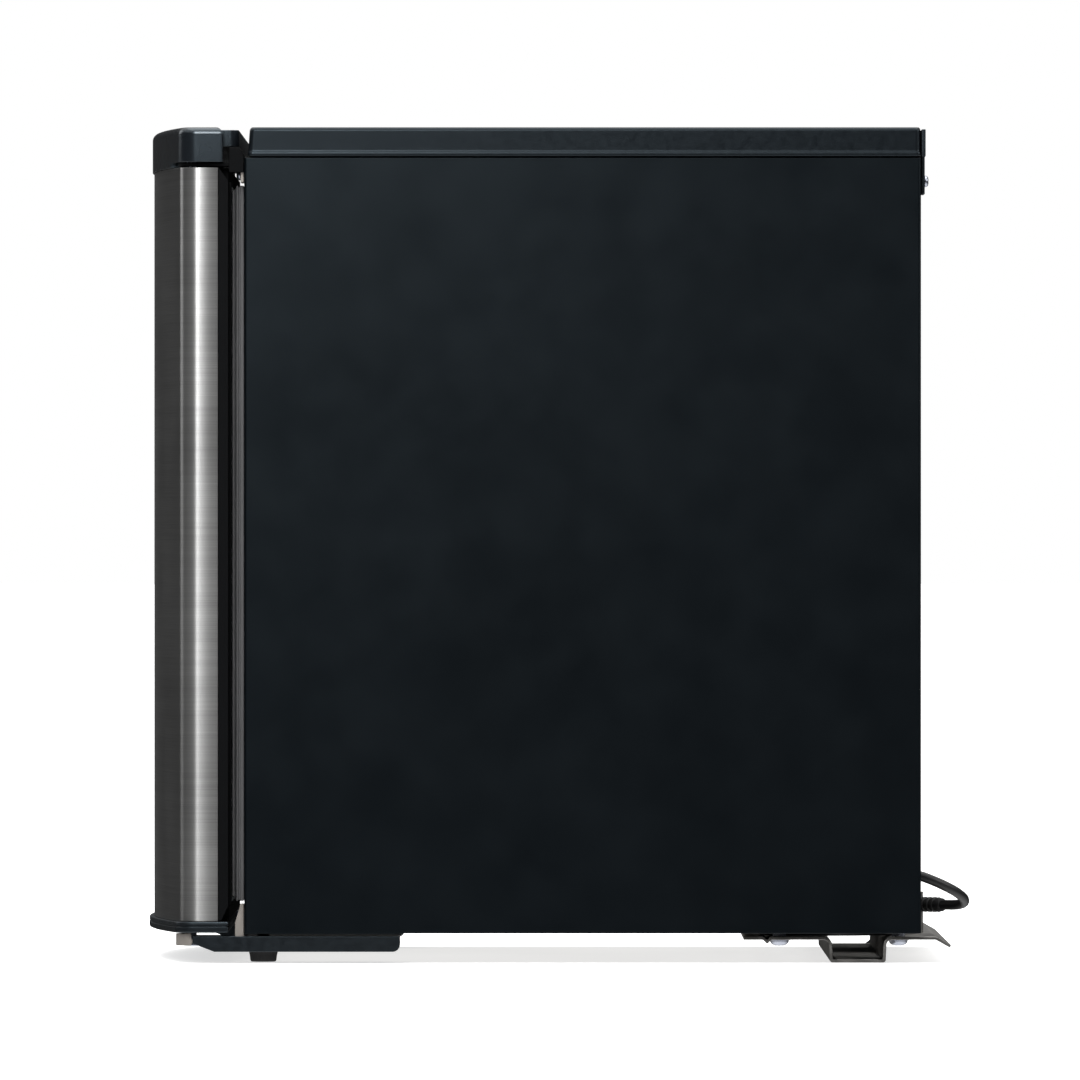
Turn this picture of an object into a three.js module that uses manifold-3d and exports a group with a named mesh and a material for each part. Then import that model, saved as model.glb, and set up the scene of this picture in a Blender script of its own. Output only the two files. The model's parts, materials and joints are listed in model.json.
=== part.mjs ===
// Compact refrigerator, modelled as its separate pieces. Millimetres, +Z up.
// +X is the hinge side, -Y is the front. The origin is on the floor, under the middle of the body.
import * as THREE from 'three';
import { mergeVertices } from 'three/addons/utils/BufferGeometryUtils.js';
import Module from 'manifold-3d';

const wasm = await Module();
wasm.setup();

// ---------------------------------------------------------------- driving dimensions
const GAP = 0.3; // clearance between neighbouring pieces
const SHEET = 1; // coated sheet steel

const cab = { half: 221.5, front: -181, back: 224, bottom: 17.6, top: 481.7, flange: 33 };
const top = { half: 222.5, front: -179, back: 224.1, low: 482.6, high: 500 };
const room = { half: 185, back: 182, low: 47, high: 452, wall: 2, humpY: 87, humpZ: 227 };
const recess = { front: 124, roof: 190 }; // the space for the compressor
const door = { half: 221.5, front: -239.3, rear: -196.6, corner: 12, bow: 1176, low: 24.8, high: 475.9 };
const liner = { plane: -188.8, dykeHalf: 178, dykeLow: 52, dykeHigh: 448, dykeBack: -172, dykeWall: 12 };
const pivot = { x: 208, y: -212.6, pin: 3, bore: 3.3 };
const topPlate = { low: 476.7, high: 478.7 }; // top hinge arm
const arm = { low: 11.8, high: 14 }; // bottom hinge arm
const cap = { half: 222.5, front: -240.3, rear: -194, low: 476.2, high: 500 };
const sill = { half: 222.5, front: -242.3, rear: -190.6, low: 17.9, high: 24.5 };
const bar = { inner: 178, outer: 219.6, front: -212, back: -88, low: 6.5, high: 15.8, wall: 1.6 };
const foot = { x: 190, y: -170, pad: 7.5, radius: 8.8, stud: 4, studTop: 32 };
const plate = { half: 214, thick: 1.8, low: 13.6, top: 15.4 };
const pump = { x: -45, y: 175, radius: 47, stretch: 1.38, boltX: 60, boltY: [146, 211.6] };
const freezer = { half: 150, front: -60, back: 165, low: 346, high: 445, wall: 1.5 };
const flap = { half: 147.3, y: -65, z: 441, low: 349, pin: 2 };
const tray = { half: 182, front: -58, back: 148, low: 304, high: 341, wall: 2 };
const shelf = { half: 183, front: -92, back: 178, low: 232.3, thick: 4 };
const knob = { x: 168.5, z: 396, front: -58, radius: 13 };
const bins = { half: 164, back: -187.4, wall: 2 };
const cord = { radius: 3, pitch: 6.2, coil: [168, 168.7], coilInner: 24.9, coilOuter: 43.1 };

// ---------------------------------------------------------------- materials
const finish = (color, roughness, metalness = 0) => new THREE.MeshStandardMaterial({ color, roughness, metalness });
const blackPaint = finish(0x15171a, 0.4);
const blackPlastic = finish(0x0e1013, 0.35);
const glossBlack = finish(0x0b0d11, 0.12);
const brushedSteel = finish(0x9c9a97, 0.34, 1);
const zinc = finish(0xa9a7a0, 0.38, 1);
const whitePlastic = finish(0xe9ebec, 0.4);
const greyRubber = finish(0x8f9091, 0.7);
const blackRubber = finish(0x121212, 0.75);
const foamYellow = finish(0xd9cf9f, 0.9);
const aluminium = finish(0xc9ccce, 0.42, 1);
const copper = finish(0xb5724a, 0.35, 1);
const glass = finish(0xcfe0dd, 0.08);
const clearPlastic = finish(0xdfe6e8, 0.15);
const brass = finish(0xb59a5a, 0.35, 1);

// ---------------------------------------------------------------- shape helpers
const X_PUSH = new THREE.Matrix4().makeBasis(
  new THREE.Vector3(0, 1, 0), new THREE.Vector3(0, 0, 1), new THREE.Vector3(1, 0, 0));
const Y_PUSH = new THREE.Matrix4().makeBasis(
  new THREE.Vector3(1, 0, 0), new THREE.Vector3(0, 0, 1), new THREE.Vector3(0, -1, 0));

const vec = (p) => new THREE.Vector3(...p);
const outline = (points) => new THREE.Shape(points.map(([x, y]) => new THREE.Vector2(x, y)));

function block([x0, x1], [y0, y1], [z0, z1]) {
  const box = new THREE.BoxGeometry(x1 - x0, y1 - y0, z1 - z0);
  return box.translate((x0 + x1) / 2, (y0 + y1) / 2, (z0 + z1) / 2);
}

// An outline in (x, y) pushed up from z0 to z1.
function prismZ(points, [z0, z1], options = {}) {
  const solid = new THREE.ExtrudeGeometry(outline(points), { depth: z1 - z0, bevelEnabled: false, ...options });
  return solid.translate(0, 0, z0);
}

// An outline in (y, z) pushed along x.
function prismX(points, [x0, x1]) {
  const solid = new THREE.ExtrudeGeometry(outline(points), { depth: x1 - x0, bevelEnabled: false });
  return solid.applyMatrix4(X_PUSH).translate(x0, 0, 0);
}

// An outline in (x, z) pushed along y, with an optional hole.
function prismY(points, [y0, y1], hole) {
  const shape = outline(points);
  if (hole) shape.holes.push(new THREE.Path(hole.map(([x, y]) => new THREE.Vector2(x, y))));
  const solid = new THREE.ExtrudeGeometry(shape, { depth: y1 - y0, bevelEnabled: false });
  return solid.applyMatrix4(Y_PUSH).translate(0, y1, 0);
}

const rectangle = ([x0, x1], [y0, y1]) => [[x0, y0], [x1, y0], [x1, y1], [x0, y1]];

// The outline of a sheet bent along a path, thickened to the left of the path.
function bentSheet(path, thickness) {
  const unit = (a, b) => {
    const length = Math.hypot(b[0] - a[0], b[1] - a[1]);
    return [(b[0] - a[0]) / length, (b[1] - a[1]) / length];
  };
  const offset = path.map((p, i) => {
    const before = i > 0 ? unit(path[i - 1], p) : unit(p, path[i + 1]);
    const after = i < path.length - 1 ? unit(p, path[i + 1]) : before;
    const scale = thickness / (1 + before[0] * after[0] + before[1] * after[1]);
    return [p[0] - (before[1] + after[1]) * scale, p[1] + (before[0] + after[0]) * scale];
  });
  return [...path, ...offset.reverse()];
}

// Points on an arc, angles in degrees.
function arc([cx, cy], radius, from, to, steps) {
  const points = [];
  for (let i = 0; i <= steps; i++) {
    const angle = THREE.MathUtils.degToRad(from + ((to - from) * i) / steps);
    points.push([cx + radius * Math.cos(angle), cy + radius * Math.sin(angle)]);
  }
  return points;
}

function cylinder(radius, [z0, z1], [x, y], sides = 20) {
  const solid = new THREE.CylinderGeometry(radius, radius, z1 - z0, sides);
  return solid.rotateX(Math.PI / 2).translate(x, y, (z0 + z1) / 2);
}

function cylinderY(radius, [y0, y1], [x, z], sides = 16) {
  return new THREE.CylinderGeometry(radius, radius, y1 - y0, sides).translate(x, (y0 + y1) / 2, z);
}

function cylinderX(radius, [x0, x1], [y, z], sides = 12) {
  const solid = new THREE.CylinderGeometry(radius, radius, x1 - x0, sides);
  return solid.rotateZ(Math.PI / 2).translate((x0 + x1) / 2, y, z);
}

// A body of revolution standing up at (x, y); the profile is [radius, height] pairs.
function turned(profile, [x, y], sides = 24) {
  const solid = new THREE.LatheGeometry(profile.map(([r, z]) => new THREE.Vector2(r, z)), sides);
  return solid.rotateX(Math.PI / 2).translate(x, y, 0);
}

function tube(points, radius, sides, steps) {
  const section = arc([0, 0], radius, 0, 360 - 360 / sides, sides - 1);
  const path = new THREE.CatmullRomCurve3(points.map(vec));
  return new THREE.ExtrudeGeometry(outline(section), { steps, bevelEnabled: false, extrudePath: path });
}

function toSolid(geometry) {
  const bare = geometry.clone();
  bare.deleteAttribute('normal');
  bare.deleteAttribute('uv');
  const merged = mergeVertices(bare, 1e-3);
  return new wasm.Manifold(new wasm.Mesh({
    numProp: 3,
    vertProperties: new Float32Array(merged.attributes.position.array),
    triVerts: new Uint32Array(merged.index.array),
  }));
}

function toGeometry(solid) {
  const mesh = solid.getMesh();
  const geometry = new THREE.BufferGeometry();
  geometry.setAttribute('position', new THREE.BufferAttribute(new Float32Array(mesh.vertProperties), 3));
  geometry.setIndex(new THREE.BufferAttribute(new Uint32Array(mesh.triVerts), 1));
  geometry.computeVertexNormals();
  return geometry;
}

const join = (...pieces) => toGeometry(pieces.map(toSolid).reduce((a, b) => a.add(b)));
const cut = (body, ...tools) => toGeometry(tools.map(toSolid).reduce((a, b) => a.subtract(b), toSolid(body)));

const fridge = new THREE.Group();

function add(name, geometry, material) {
  const mesh = new THREE.Mesh(geometry, material);
  mesh.name = name;
  fridge.add(mesh);
}

// ---------------------------------------------------------------- cabinet
const hingeScrews = { x: [197, 210], z: [28, 472], hole: 2.2 };
const trimScrews = { x: 200, z: 468, hole: 2.2, head: 228.9 }; // they hold the worktop's rear trim

function sidePanel(side) {
  const path = [
    [cab.half - cab.flange, cab.front],
    [cab.half, cab.front],
    [cab.half, cab.back],
    [cab.half - 12.5, cab.back],
  ];
  const mirrored = path.map(([x, y]) => [-x, y]).reverse();
  const panel = prismZ(bentSheet(side > 0 ? path : mirrored, SHEET), [cab.bottom, cab.top]);
  if (side < 0) return panel;
  const holes = hingeScrews.x.flatMap((x) => hingeScrews.z.map((z) =>
    cylinderY(2.4, [cab.front - 5, cab.front + 5], [x, z])));
  return cut(panel, ...holes);
}

function frontFrame() {
  const edge = cab.half - cab.flange - GAP;
  const opening = { half: room.half + 2.5, low: room.low - 2.5, high: room.high + 2.5 };
  return prismY(
    rectangle([-edge, edge], [cab.bottom, cab.top - GAP]), [cab.front, cab.front + SHEET],
    rectangle([-opening.half, opening.half], [opening.low, opening.high]));
}

function innerLiner() {
  const w = room.wall;
  const outer = outlineOfRoom(w, cab.front);
  const inner = outlineOfRoom(0, cab.front - 10);
  const tub = cut(
    prismX(outer, [-room.half - w, room.half + w]),
    prismX(inner, [-room.half, room.half]));
  const runner = (side, [y0, y1], [z0, z1], reach = 6) => {
    const xs = [room.half - reach, room.half + 1];
    return block(side > 0 ? xs : [-xs[1], -xs[0]], [y0, y1], [z0, z1]);
  };
  const runners = [-1, 1].flatMap((side) => [
    runner(side, [-80, room.back + 1], [226, shelf.low - GAP]),
    runner(side, [tray.front + 4, tray.back + 8], [tray.low - 5, tray.low - GAP], 8),
  ]);
  const hangers = [-120, 120].flatMap((x) => [-35, 130].map((y) =>
    block([x - 8, x + 8], [y - 8, y + 8], [freezer.high + GAP, room.high + 1])));
  return join(tub, ...runners, ...hangers);
}

// The room's outline in (y, z), grown by `grow`, with its step over the compressor.
function outlineOfRoom(grow, front) {
  return [
    [front, room.low - grow],
    [room.humpY + grow, room.low - grow],
    [room.humpY + grow, room.humpZ - grow],
    [room.back + grow, room.humpZ - grow],
    [room.back + grow, room.high + grow],
    [front, room.high + grow],
  ];
}

function insulation() {
  const shell = block(
    [-cab.half + 1.3, cab.half - 1.3], [cab.front + SHEET + GAP, cab.back - SHEET - GAP],
    [cab.bottom + SHEET + GAP, cab.top - SHEET - 2 * GAP]);
  const grow = room.wall + GAP;
  const hollow = prismX(outlineOfRoom(grow, cab.front - 10), [-room.half - grow, room.half + grow]);
  const notch = block([-300, 300], [recess.front - GAP, 400], [-10, recess.roof + GAP]);
  const studs = [-foot.x, foot.x].map((x) => cylinder(foot.stud + 0.6, [10, foot.studTop + 1], [x, foot.y]));
  return cut(shell, hollow, notch, ...studs);
}

function bottomPanel() {
  const sheet = block(
    [-cab.half + 1.3, cab.half - 1.3], [cab.front + SHEET + GAP, recess.front - GAP],
    [cab.bottom, cab.bottom + SHEET]);
  const studs = [-foot.x, foot.x].map((x) => cylinder(foot.stud + 0.6, [10, 30], [x, foot.y]));
  return cut(sheet, ...studs);
}

function recessPanel() {
  const path = [
    [cab.back - SHEET - GAP, recess.roof],
    [recess.front, recess.roof],
    [recess.front, cab.bottom],
  ];
  return prismX(bentSheet(path, SHEET), [-cab.half + 1.3, cab.half - 1.3]);
}

function backPanel() {
  const half = cab.half - 12.8;
  const sheet = block([-half, half], [cab.back - SHEET, cab.back], [recess.roof - SHEET, cab.top - GAP]);
  const holes = [-1, 1].map((side) => cylinderY(trimScrews.hole, [cab.back - 5, cab.back + 5], [side * trimScrews.x, trimScrews.z]));
  return cut(sheet, ...holes);
}

add('left_side_panel', sidePanel(-1), blackPaint);
add('right_side_panel', sidePanel(1), blackPaint);
add('front_frame', frontFrame(), blackPaint);
add('top_panel', block(
  [-cab.half + 1.3, cab.half - 1.3], [cab.front + SHEET + GAP, cab.back - SHEET - GAP],
  [cab.top - SHEET - GAP, cab.top - GAP]), zinc);
add('bottom_panel', bottomPanel(), zinc);
add('back_panel', backPanel(), blackPaint);
add('compressor_recess_panel', recessPanel(), zinc);
add('insulation_foam', insulation(), foamYellow);
add('inner_liner', innerLiner(), whitePlastic);

// ---------------------------------------------------------------- worktop
function worktop() {
  return prismX([
    [top.front, top.low], [top.back, top.low], [top.back, top.high], [top.front + 2, top.high],
  ], [-top.half, top.half]);
}

function worktopRearTrim() {
  const y0 = top.back + GAP;
  const strip = block([-top.half + 1, top.half - 1], [y0, y0 + 2.4], [top.low, top.high - 1.2]);
  const tabs = [-1, 1].map((side) => block([side * trimScrews.x - 15, side * trimScrews.x + 15], [y0, y0 + 2], [460, top.low + 1]));
  const holes = [-1, 1].map((side) => cylinderY(trimScrews.hole, [y0 - 5, y0 + 5], [side * trimScrews.x, trimScrews.z]));
  return cut(join(strip, ...tabs), ...holes);
}

// A pan-head screw whose head stands at yHead and whose tip points along +Y or -Y.
function screw(x, z, yHead, direction, length) {
  const head = [yHead, yHead + direction * 2.2];
  const shank = [yHead + direction * 1.5, yHead + direction * (2.2 + length)];
  const ordered = (pair) => [Math.min(...pair), Math.max(...pair)];
  return join(cylinderY(3.4, ordered(head), [x, z]), cylinderY(1.8, ordered(shank), [x, z], 12));
}

add('worktop', worktop(), blackPlastic);
add('worktop_rear_trim', worktopRearTrim(), blackPlastic);
add('worktop_screw_left', screw(-trimScrews.x, trimScrews.z, trimScrews.head, -1, 3.6), zinc);
add('worktop_screw_right', screw(trimScrews.x, trimScrews.z, trimScrews.head, -1, 3.6), zinc);

// ---------------------------------------------------------------- front feet
function footBar(side) {
  const profile = [
    [bar.front, bar.high], [bar.front, 11.5], [-199, bar.low],
    ...arc([bar.back - 4, bar.low + 4], 4, -90, 0, 4), [bar.back, bar.high],
  ];
  const body = prismX(profile, [bar.inner, bar.outer]);
  const hollow = block(
    [bar.inner + bar.wall, bar.outer - bar.wall], [bar.front - 5, bar.back - bar.wall],
    [0, bar.high - bar.wall + GAP]);
  const open = block([bar.inner + bar.wall, bar.outer - bar.wall], [bar.front - 5, cab.front], [0, 40]);
  const stud = cylinder(foot.stud + 0.5, [10, 20], [foot.x, foot.y]);
  const right = cut(body, hollow, open, stud);
  return side > 0 ? right : mirrorX(right);
}

// Mirrors a piece to the other side and turns its faces round again.
function mirrorX(geometry) {
  return toGeometry(toSolid(geometry).mirror([1, 0, 0]));
}

function levellingFoot(x) {
  return turned([
    [0, 0], [7.5, 0], [foot.radius, foot.pad - 1], [foot.radius, foot.pad],
    [foot.stud, foot.pad], [foot.stud, foot.studTop], [0, foot.studTop],
  ], [x, foot.y], 20);
}

add('front_foot_bar_left', footBar(-1), blackPaint);
add('front_foot_bar_right', footBar(1), blackPaint);
add('levelling_foot_left', levellingFoot(-foot.x), blackRubber);
add('levelling_foot_right', levellingFoot(foot.x), blackRubber);

// ---------------------------------------------------------------- compressor and its base
const mounts = [-1, 1].flatMap((side) => pump.boltY.map((y) => [pump.x + side * pump.boltX, y]));

function basePlate() {
  const path = [
    [118, plate.low], [129.5, plate.low], [132, 11], [134.5, plate.low],
    [169, plate.low], [169.6, 0], [203, 0], [203.6, plate.low], [233, plate.low], [241.4, 8.9],
  ];
  const sheet = prismX(bentSheet(path, plate.thick), [-plate.half, plate.half]);
  return cut(sheet, ...mounts.map((at) => cylinder(3, [5, 20], at, 16)));
}

function compressor() {
  const shell = turned([
    [0, 27], [30, 27], [41, 33], [pump.radius, 44], [pump.radius, 92], [pump.radius + 1.4, 94],
    [pump.radius + 1.4, 97], [pump.radius, 99], [pump.radius, 120], [44, 138], [35, 150], [18, 156], [0, 157],
  ], [0, 0], 28);
  shell.scale(pump.stretch, 1, 1);
  shell.translate(pump.x, pump.y, 0);
  const feet = block([pump.x - 73, pump.x + 73], [137, 221], [27.3, 29.8]);
  return cut(join(shell, feet), ...mounts.map((at) => cylinder(3, [20, 32], at, 16)));
}

// A bolt with its rubber bush round it, bonded into one mount.
function compressorMount(at) {
  return turned([
    [0, 9.9], [3.6, 9.9], [5.4, 11.2], [5.4, 13.3], [2.6, 13.3], [2.6, 15.7], [9, 15.7], [9, 18],
    [7.6, 20], [9, 22.5], [9, 27], [2.6, 27], [2.6, 30.1], [5.2, 30.1], [5.2, 34], [0, 34],
  ], at, 16);
}

function terminalCover() {
  const body = block([20.8, 44], [156, 194], [76, 120]);
  return cut(body, block([10, 42], [158, 192], [78, 118]));
}

function filterDrier() {
  const capsule = turned([
    [0, 100], [2.6, 100], [2.6, 108], [8.5, 115], [8.5, 172], [2.6, 180], [2.6, 188.6], [0, 188.6],
  ], [110, 142], 16);
  const inlet = tube([[110, 142, 104], [110, 142, 96], [110, 138, 88], [110, 131, 85], [110, 125.4, 84.6]], 2.4, 8, 10);
  return join(capsule, inlet);
}

add('compressor_base_plate', basePlate(), zinc);
add('compressor', compressor(), blackPaint);
mounts.forEach((at, i) => add(`compressor_mount_${i + 1}`, compressorMount(at), blackRubber));
add('compressor_terminal_cover', terminalCover(), blackPlastic);
add('suction_tube', tube([
  [-110.4, 175, 107], [-122, 175, 107.5], [-137, 170, 114], [-148, 161, 132], [-151, 153, 160], [-151, 152, 188.6],
], 3.2, 8, 20), copper);
add('discharge_tube', tube([
  [20.4, 172, 56], [30, 171, 56.5], [44, 164, 64], [52, 152, 84], [54, 146, 116], [57, 145, 150], [60, 145, 188.6],
], 2.5, 8, 22), copper);
add('filter_drier', filterDrier(), brass);

// ---------------------------------------------------------------- mains lead
const DIAGONAL = Math.SQRT1_2; // the lead leaves at 45 degrees in plan
const exitPoint = [150, 238.5, 33.3];
const relief = { length: 34, clamp: 6.8 }; // clamp is how far along it the clamp sits
const reliefStart = [
  exitPoint[0] - relief.length * DIAGONAL, exitPoint[1] - relief.length * DIAGONAL, exitPoint[2]];

// Turns a piece made along +Z so that it lies along the lead's way out, starting at reliefStart.
function alongExit(geometry) {
  const turn = new THREE.Quaternion().setFromUnitVectors(
    new THREE.Vector3(0, 0, 1), new THREE.Vector3(DIAGONAL, DIAGONAL, 0));
  return geometry.applyQuaternion(turn).translate(...reliefStart);
}

function strainRelief() {
  const ribs = [14, 18, 22, 26, 30].flatMap((s) => [[4.5, s - 1.5], [4.0, s - 1], [4.0, s], [4.5, s + 0.5]]);
  return alongExit(turned([[0, 0], [5.2, 0], [5.2, 2.2], [4.6, 2.2], ...ribs, [4.1, 34], [0, 34]], [0, 0], 14));
}

function cordClamp() {
  const body = block([-7.5, 7.5], [-4, 4], [plate.top + GAP - exitPoint[2], 7.6]);
  const hole = cylinderY(5, [-6, 6], [0, 0], 16);
  const placed = cut(body, hole).rotateZ(-Math.PI / 4);
  return placed.translate(
    reliefStart[0] + relief.clamp * DIAGONAL, reliefStart[1] + relief.clamp * DIAGONAL, exitPoint[2]);
}

// Out of the relief, round in a loop behind the cabinet, and down on to the coil.
const cordRoute = [
  [150.2, 238.7, 33.3], [153, 241.5, 33.3], [157, 245.4, 33.4], [163, 249.2, 34], [171, 251.1, 35.6],
  [179.5, 250.2, 38.2], [187.5, 246, 41.6], [193.5, 239.5, 45.2], [196.8, 231.5, 48.8], [197.8, 223, 51.8],
  [198.4, 214, 53], [199.2, 205, 51.4], [200.4, 196, 47.6], [201.4, 187, 42.8], [202, 178, 38.4],
];

function coil() {
  const low = plate.top + GAP;
  const high = low + 3 * cord.pitch;
  const ring = [
    [cord.coilInner, low], [cord.coilOuter, low], [cord.coilOuter, high], [cord.coilInner, high],
    [cord.coilInner, low],
  ];
  return turned(ring, cord.coil, 32);
}

// A moulded earthed plug, lying along the lead's last straight, with its blades pointing away from the coil.
function plug() {
  const leave = THREE.MathUtils.degToRad(255);
  const start = [cord.coil[0] + 40 * Math.cos(leave), cord.coil[1] + 40 * Math.sin(leave)];
  const heading = Math.atan2(-Math.cos(leave), Math.sin(leave));
  const tail = tube([[24.6, 0, 19], [34, 0, 21], [48, 0, 25]], 3.9, 10, 4);
  const body = new THREE.ExtrudeGeometry(
    outline([[46, -7], [54, -12.5], [76, -13.2], [79, -12.2], [79, 12.2], [76, 13.2], [54, 12.5], [46, 7]]),
    { depth: 20, bevelEnabled: false }).translate(0, 0, plate.top + GAP);
  const blades = [-6.35, 6.35].map((y) => block([78, 96.5], [y - 0.8, y + 0.8], [23.6, 29.9]));
  const earth = cylinderX(2.4, [78, 99], [0, 19.6], 10);
  return join(tail, body, ...blades, earth).rotateZ(heading).translate(start[0], start[1], 0);
}

add('cord_clamp', cordClamp(), zinc);
add('cord_strain_relief', strainRelief(), blackRubber);
add('internal_lead', tube([
  [125.7, 214.2, 33.3], [119, 207.5, 33], [108, 199, 33.5], [96, 193, 38], [84, 187, 50], [73, 181, 66],
  [60, 177, 81], [50, 175, 85.6], [44.6, 175, 86],
], 3, 8, 26), blackRubber);
add('power_cord', tube(cordRoute, cord.radius, 8, 26), blackRubber);
add('power_cord_coil', coil(), blackRubber);
add('power_plug', plug(), blackRubber);

// ---------------------------------------------------------------- cold parts inside
function evaporator() {
  const w = freezer.wall;
  const shell = cut(
    block([-freezer.half, freezer.half], [freezer.front, freezer.back], [freezer.low, freezer.high]),
    block([-freezer.half + w, freezer.half - w], [freezer.front - 5, freezer.back - w],
      [freezer.low + w, freezer.high - w]));
  const ears = [-1, 1].map((side) => {
    const xs = [freezer.half - w, freezer.half].map((x) => x * side);
    return block([Math.min(...xs), Math.max(...xs)], [flap.y - 5, freezer.front + 1], [flap.z - 8, freezer.high]);
  });
  return cut(join(shell, ...ears), cylinderX(flap.pin + 0.5, [-160, 160], [flap.y, flap.z], 16));
}

function freezerFlap() {
  const panel = block([-flap.half, flap.half], [flap.y - 2, flap.y + 2], [flap.low, flap.z + 2]);
  const grip = block([-40, 40], [flap.y - 8, flap.y - 1], [flap.low, flap.low + 3]);
  const pin = cylinderX(flap.pin, [-freezer.half + 0.1, freezer.half - 0.1], [flap.y, flap.z], 16);
  return join(panel, grip, pin);
}

function dripTray() {
  const w = tray.wall;
  return cut(
    block([-tray.half, tray.half], [tray.front, tray.back], [tray.low, tray.high]),
    block([-tray.half + w, tray.half - w], [tray.front + w, tray.back - w], [tray.low + w, tray.high + 5]));
}

function shelfTrim() {
  const path = [[shelf.front + 6, shelf.low - 3], [shelf.front - 6, shelf.low - 3],
    [shelf.front - 6, shelf.low + shelf.thick + 2.4], [shelf.front + 6, shelf.low + shelf.thick + 2.4]];
  return prismX(bentSheet(path.reverse(), 2), [-room.half + 7, room.half - 7]);
}

function thermostatHousing() {
  const body = block([152.5, room.half - GAP], [knob.front, 10], [362, 430]);
  const hollow = block([154.5, room.half + 5], [knob.front + 2, 8], [364, 428]);
  return cut(body, hollow, cylinderY(3.4, [knob.front - 5, knob.front + 5], [knob.x, knob.z]));
}

function thermostatKnob() {
  const dial = cylinderY(knob.radius, [knob.front - 14, knob.front - GAP], [knob.x, knob.z], 28);
  const shaft = cylinderY(3, [knob.front - 1, knob.front + 8], [knob.x, knob.z]);
  const pointer = block([knob.x - 1.5, knob.x + 1.5], [knob.front - 16, knob.front - 12], [knob.z, knob.z + 11.5]);
  return join(dial, shaft, pointer);
}

add('evaporator_box', evaporator(), aluminium);
add('freezer_flap', freezerFlap(), clearPlastic);
add('drip_tray', dripTray(), clearPlastic);
add('glass_shelf', block([-shelf.half, shelf.half], [shelf.front, shelf.back],
  [shelf.low, shelf.low + shelf.thick]), glass);
add('shelf_front_trim', shelfTrim(), whitePlastic);
add('thermostat_housing', thermostatHousing(), whitePlastic);
add('thermostat_knob', thermostatKnob(), whitePlastic);

// ---------------------------------------------------------------- hinges
function topHingeBracket() {
  const reach = cab.front - GAP; // the rear face of the upright flange
  const nose = arc([pivot.x, pivot.y], 8, 180, 360, 12);
  const leaf = prismZ([[188, reach], [188, reach - 4], ...nose, [217, reach - 4], [217, reach]],
    [topPlate.low, topPlate.high]);
  const flange = block([188, 217], [reach - 2, reach], [467, 481]);
  const holes = hingeScrews.x.map((x) => cylinderY(hingeScrews.hole, [reach - 9, reach + 5], [x, hingeScrews.z[1]]));
  return cut(join(leaf, flange), cylinder(pivot.bore, [470, 485], [pivot.x, pivot.y]), ...holes);
}

function topHingeCover() {
  const back = cab.front - GAP;
  const side = prismX([[back, 473], [back, 483.4], [back - 0.8, 485], [-184.6, 488], [-190.2, 488], [-190.2, 473]], [186, 220.5]);
  const sweep = cylinder(25.2, [460, 500], [pivot.x, pivot.y], 64);
  const flangeRoom = block([187.4, 217.6], [back - 2.4, back + 5], [460, 481.4]);
  const leafRoom = block([187.4, 217.6], [-200, back], [topPlate.low - 0.4, topPlate.high + 0.4]);
  const headRoom = block([192, 214.5], [back - 5.4, back], [460, 476.8]);
  return cut(side, sweep, flangeRoom, leafRoom, headRoom);
}

function bottomHingeBracket() {
  const reach = cab.front - GAP;
  const nose = arc([pivot.x, pivot.y], 9.5, 180, 360, 14);
  const leaf = prismZ([[198.5, -150], ...nose, [217.5, -150]], [arm.low, arm.high]);
  const lip = prismZ([...nose, ...arc([pivot.x, pivot.y], 7.7, 360, 180, 14)], [10.2, 17.5]);
  const flange = block([190, 217.5], [reach - 2.4, reach], [arm.low, 35]);
  const holes = hingeScrews.x.map((x) => cylinderY(hingeScrews.hole, [reach - 9, reach + 5], [x, hingeScrews.z[0]]));
  // An upright web stiffens the flange; its front edge clears the door's corner as it swings.
  const web = prismX([[-186.6, arm.low], [reach, arm.low], [reach, 35], [reach - 2, 35], [-186.6, 24]], [215.5, 217.5]);
  return cut(join(leaf, lip, flange, web), cylinder(pivot.bore, [5, 20], [pivot.x, pivot.y]), ...holes);
}

add('top_hinge_bracket', topHingeBracket(), zinc);
add('top_hinge_pin', cylinder(pivot.pin, [465, 481], [pivot.x, pivot.y]), zinc);
add('top_hinge_cover', topHingeCover(), blackPlastic);
add('bottom_hinge_bracket', bottomHingeBracket(), zinc);
add('bottom_hinge_pin', turned([
  [0, 9.9], [4.6, 9.9], [5, 10.4], [5, 11.5], [pivot.pin, 11.5], [pivot.pin, 24], [0, 24],
], [pivot.x, pivot.y], 20), zinc);
['left', 'right'].forEach((side, i) => {
  add(`top_hinge_screw_${side}`, screw(hingeScrews.x[i], hingeScrews.z[1], cab.front - 4.9, 1, 3.8), zinc);
  add(`bottom_hinge_screw_${side}`, screw(hingeScrews.x[i], hingeScrews.z[0], cab.front - 5.3, 1, 4.2), zinc);
});

// ---------------------------------------------------------------- door
// The door's plan: flat sides, rounded corners and a bowed front, from the right rear round to the left rear.
function doorFace({ half, front, corner = door.corner, bow = door.bow, rear }) {
  const bowY = front + bow;
  const cornerX = half - corner;
  const cornerY = bowY - Math.sqrt((bow - corner) ** 2 - cornerX ** 2);
  const meet = THREE.MathUtils.radToDeg(Math.asin(cornerX / (bow - corner)));
  return [
    [half, rear],
    ...arc([cornerX, cornerY], corner, 0, -90 + meet, 6),
    ...arc([0, bowY], bow, -90 + meet, -90 - meet, 16).slice(1, -1),
    ...arc([-cornerX, cornerY], corner, -90 - meet, -180, 6),
    [-half, rear],
  ];
}

// The same plan moved inwards by `inset`.
const insetFace = (face, inset, rear) => doorFace({
  half: face.half - inset, front: face.front + inset, corner: door.corner - inset, bow: door.bow - inset, rear });

function doorSkin() {
  const ring = [...insetFace(door, 0, door.rear), ...insetFace(door, 0.8, door.rear).reverse()];
  return prismZ(ring, [door.low, door.high]);
}

const trimInner = 204; // half distance between the door's two side trims
const grip = { inner: 213, floor: -195.3, low: 170, high: 330 }; // the finger recess in the left trim

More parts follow.
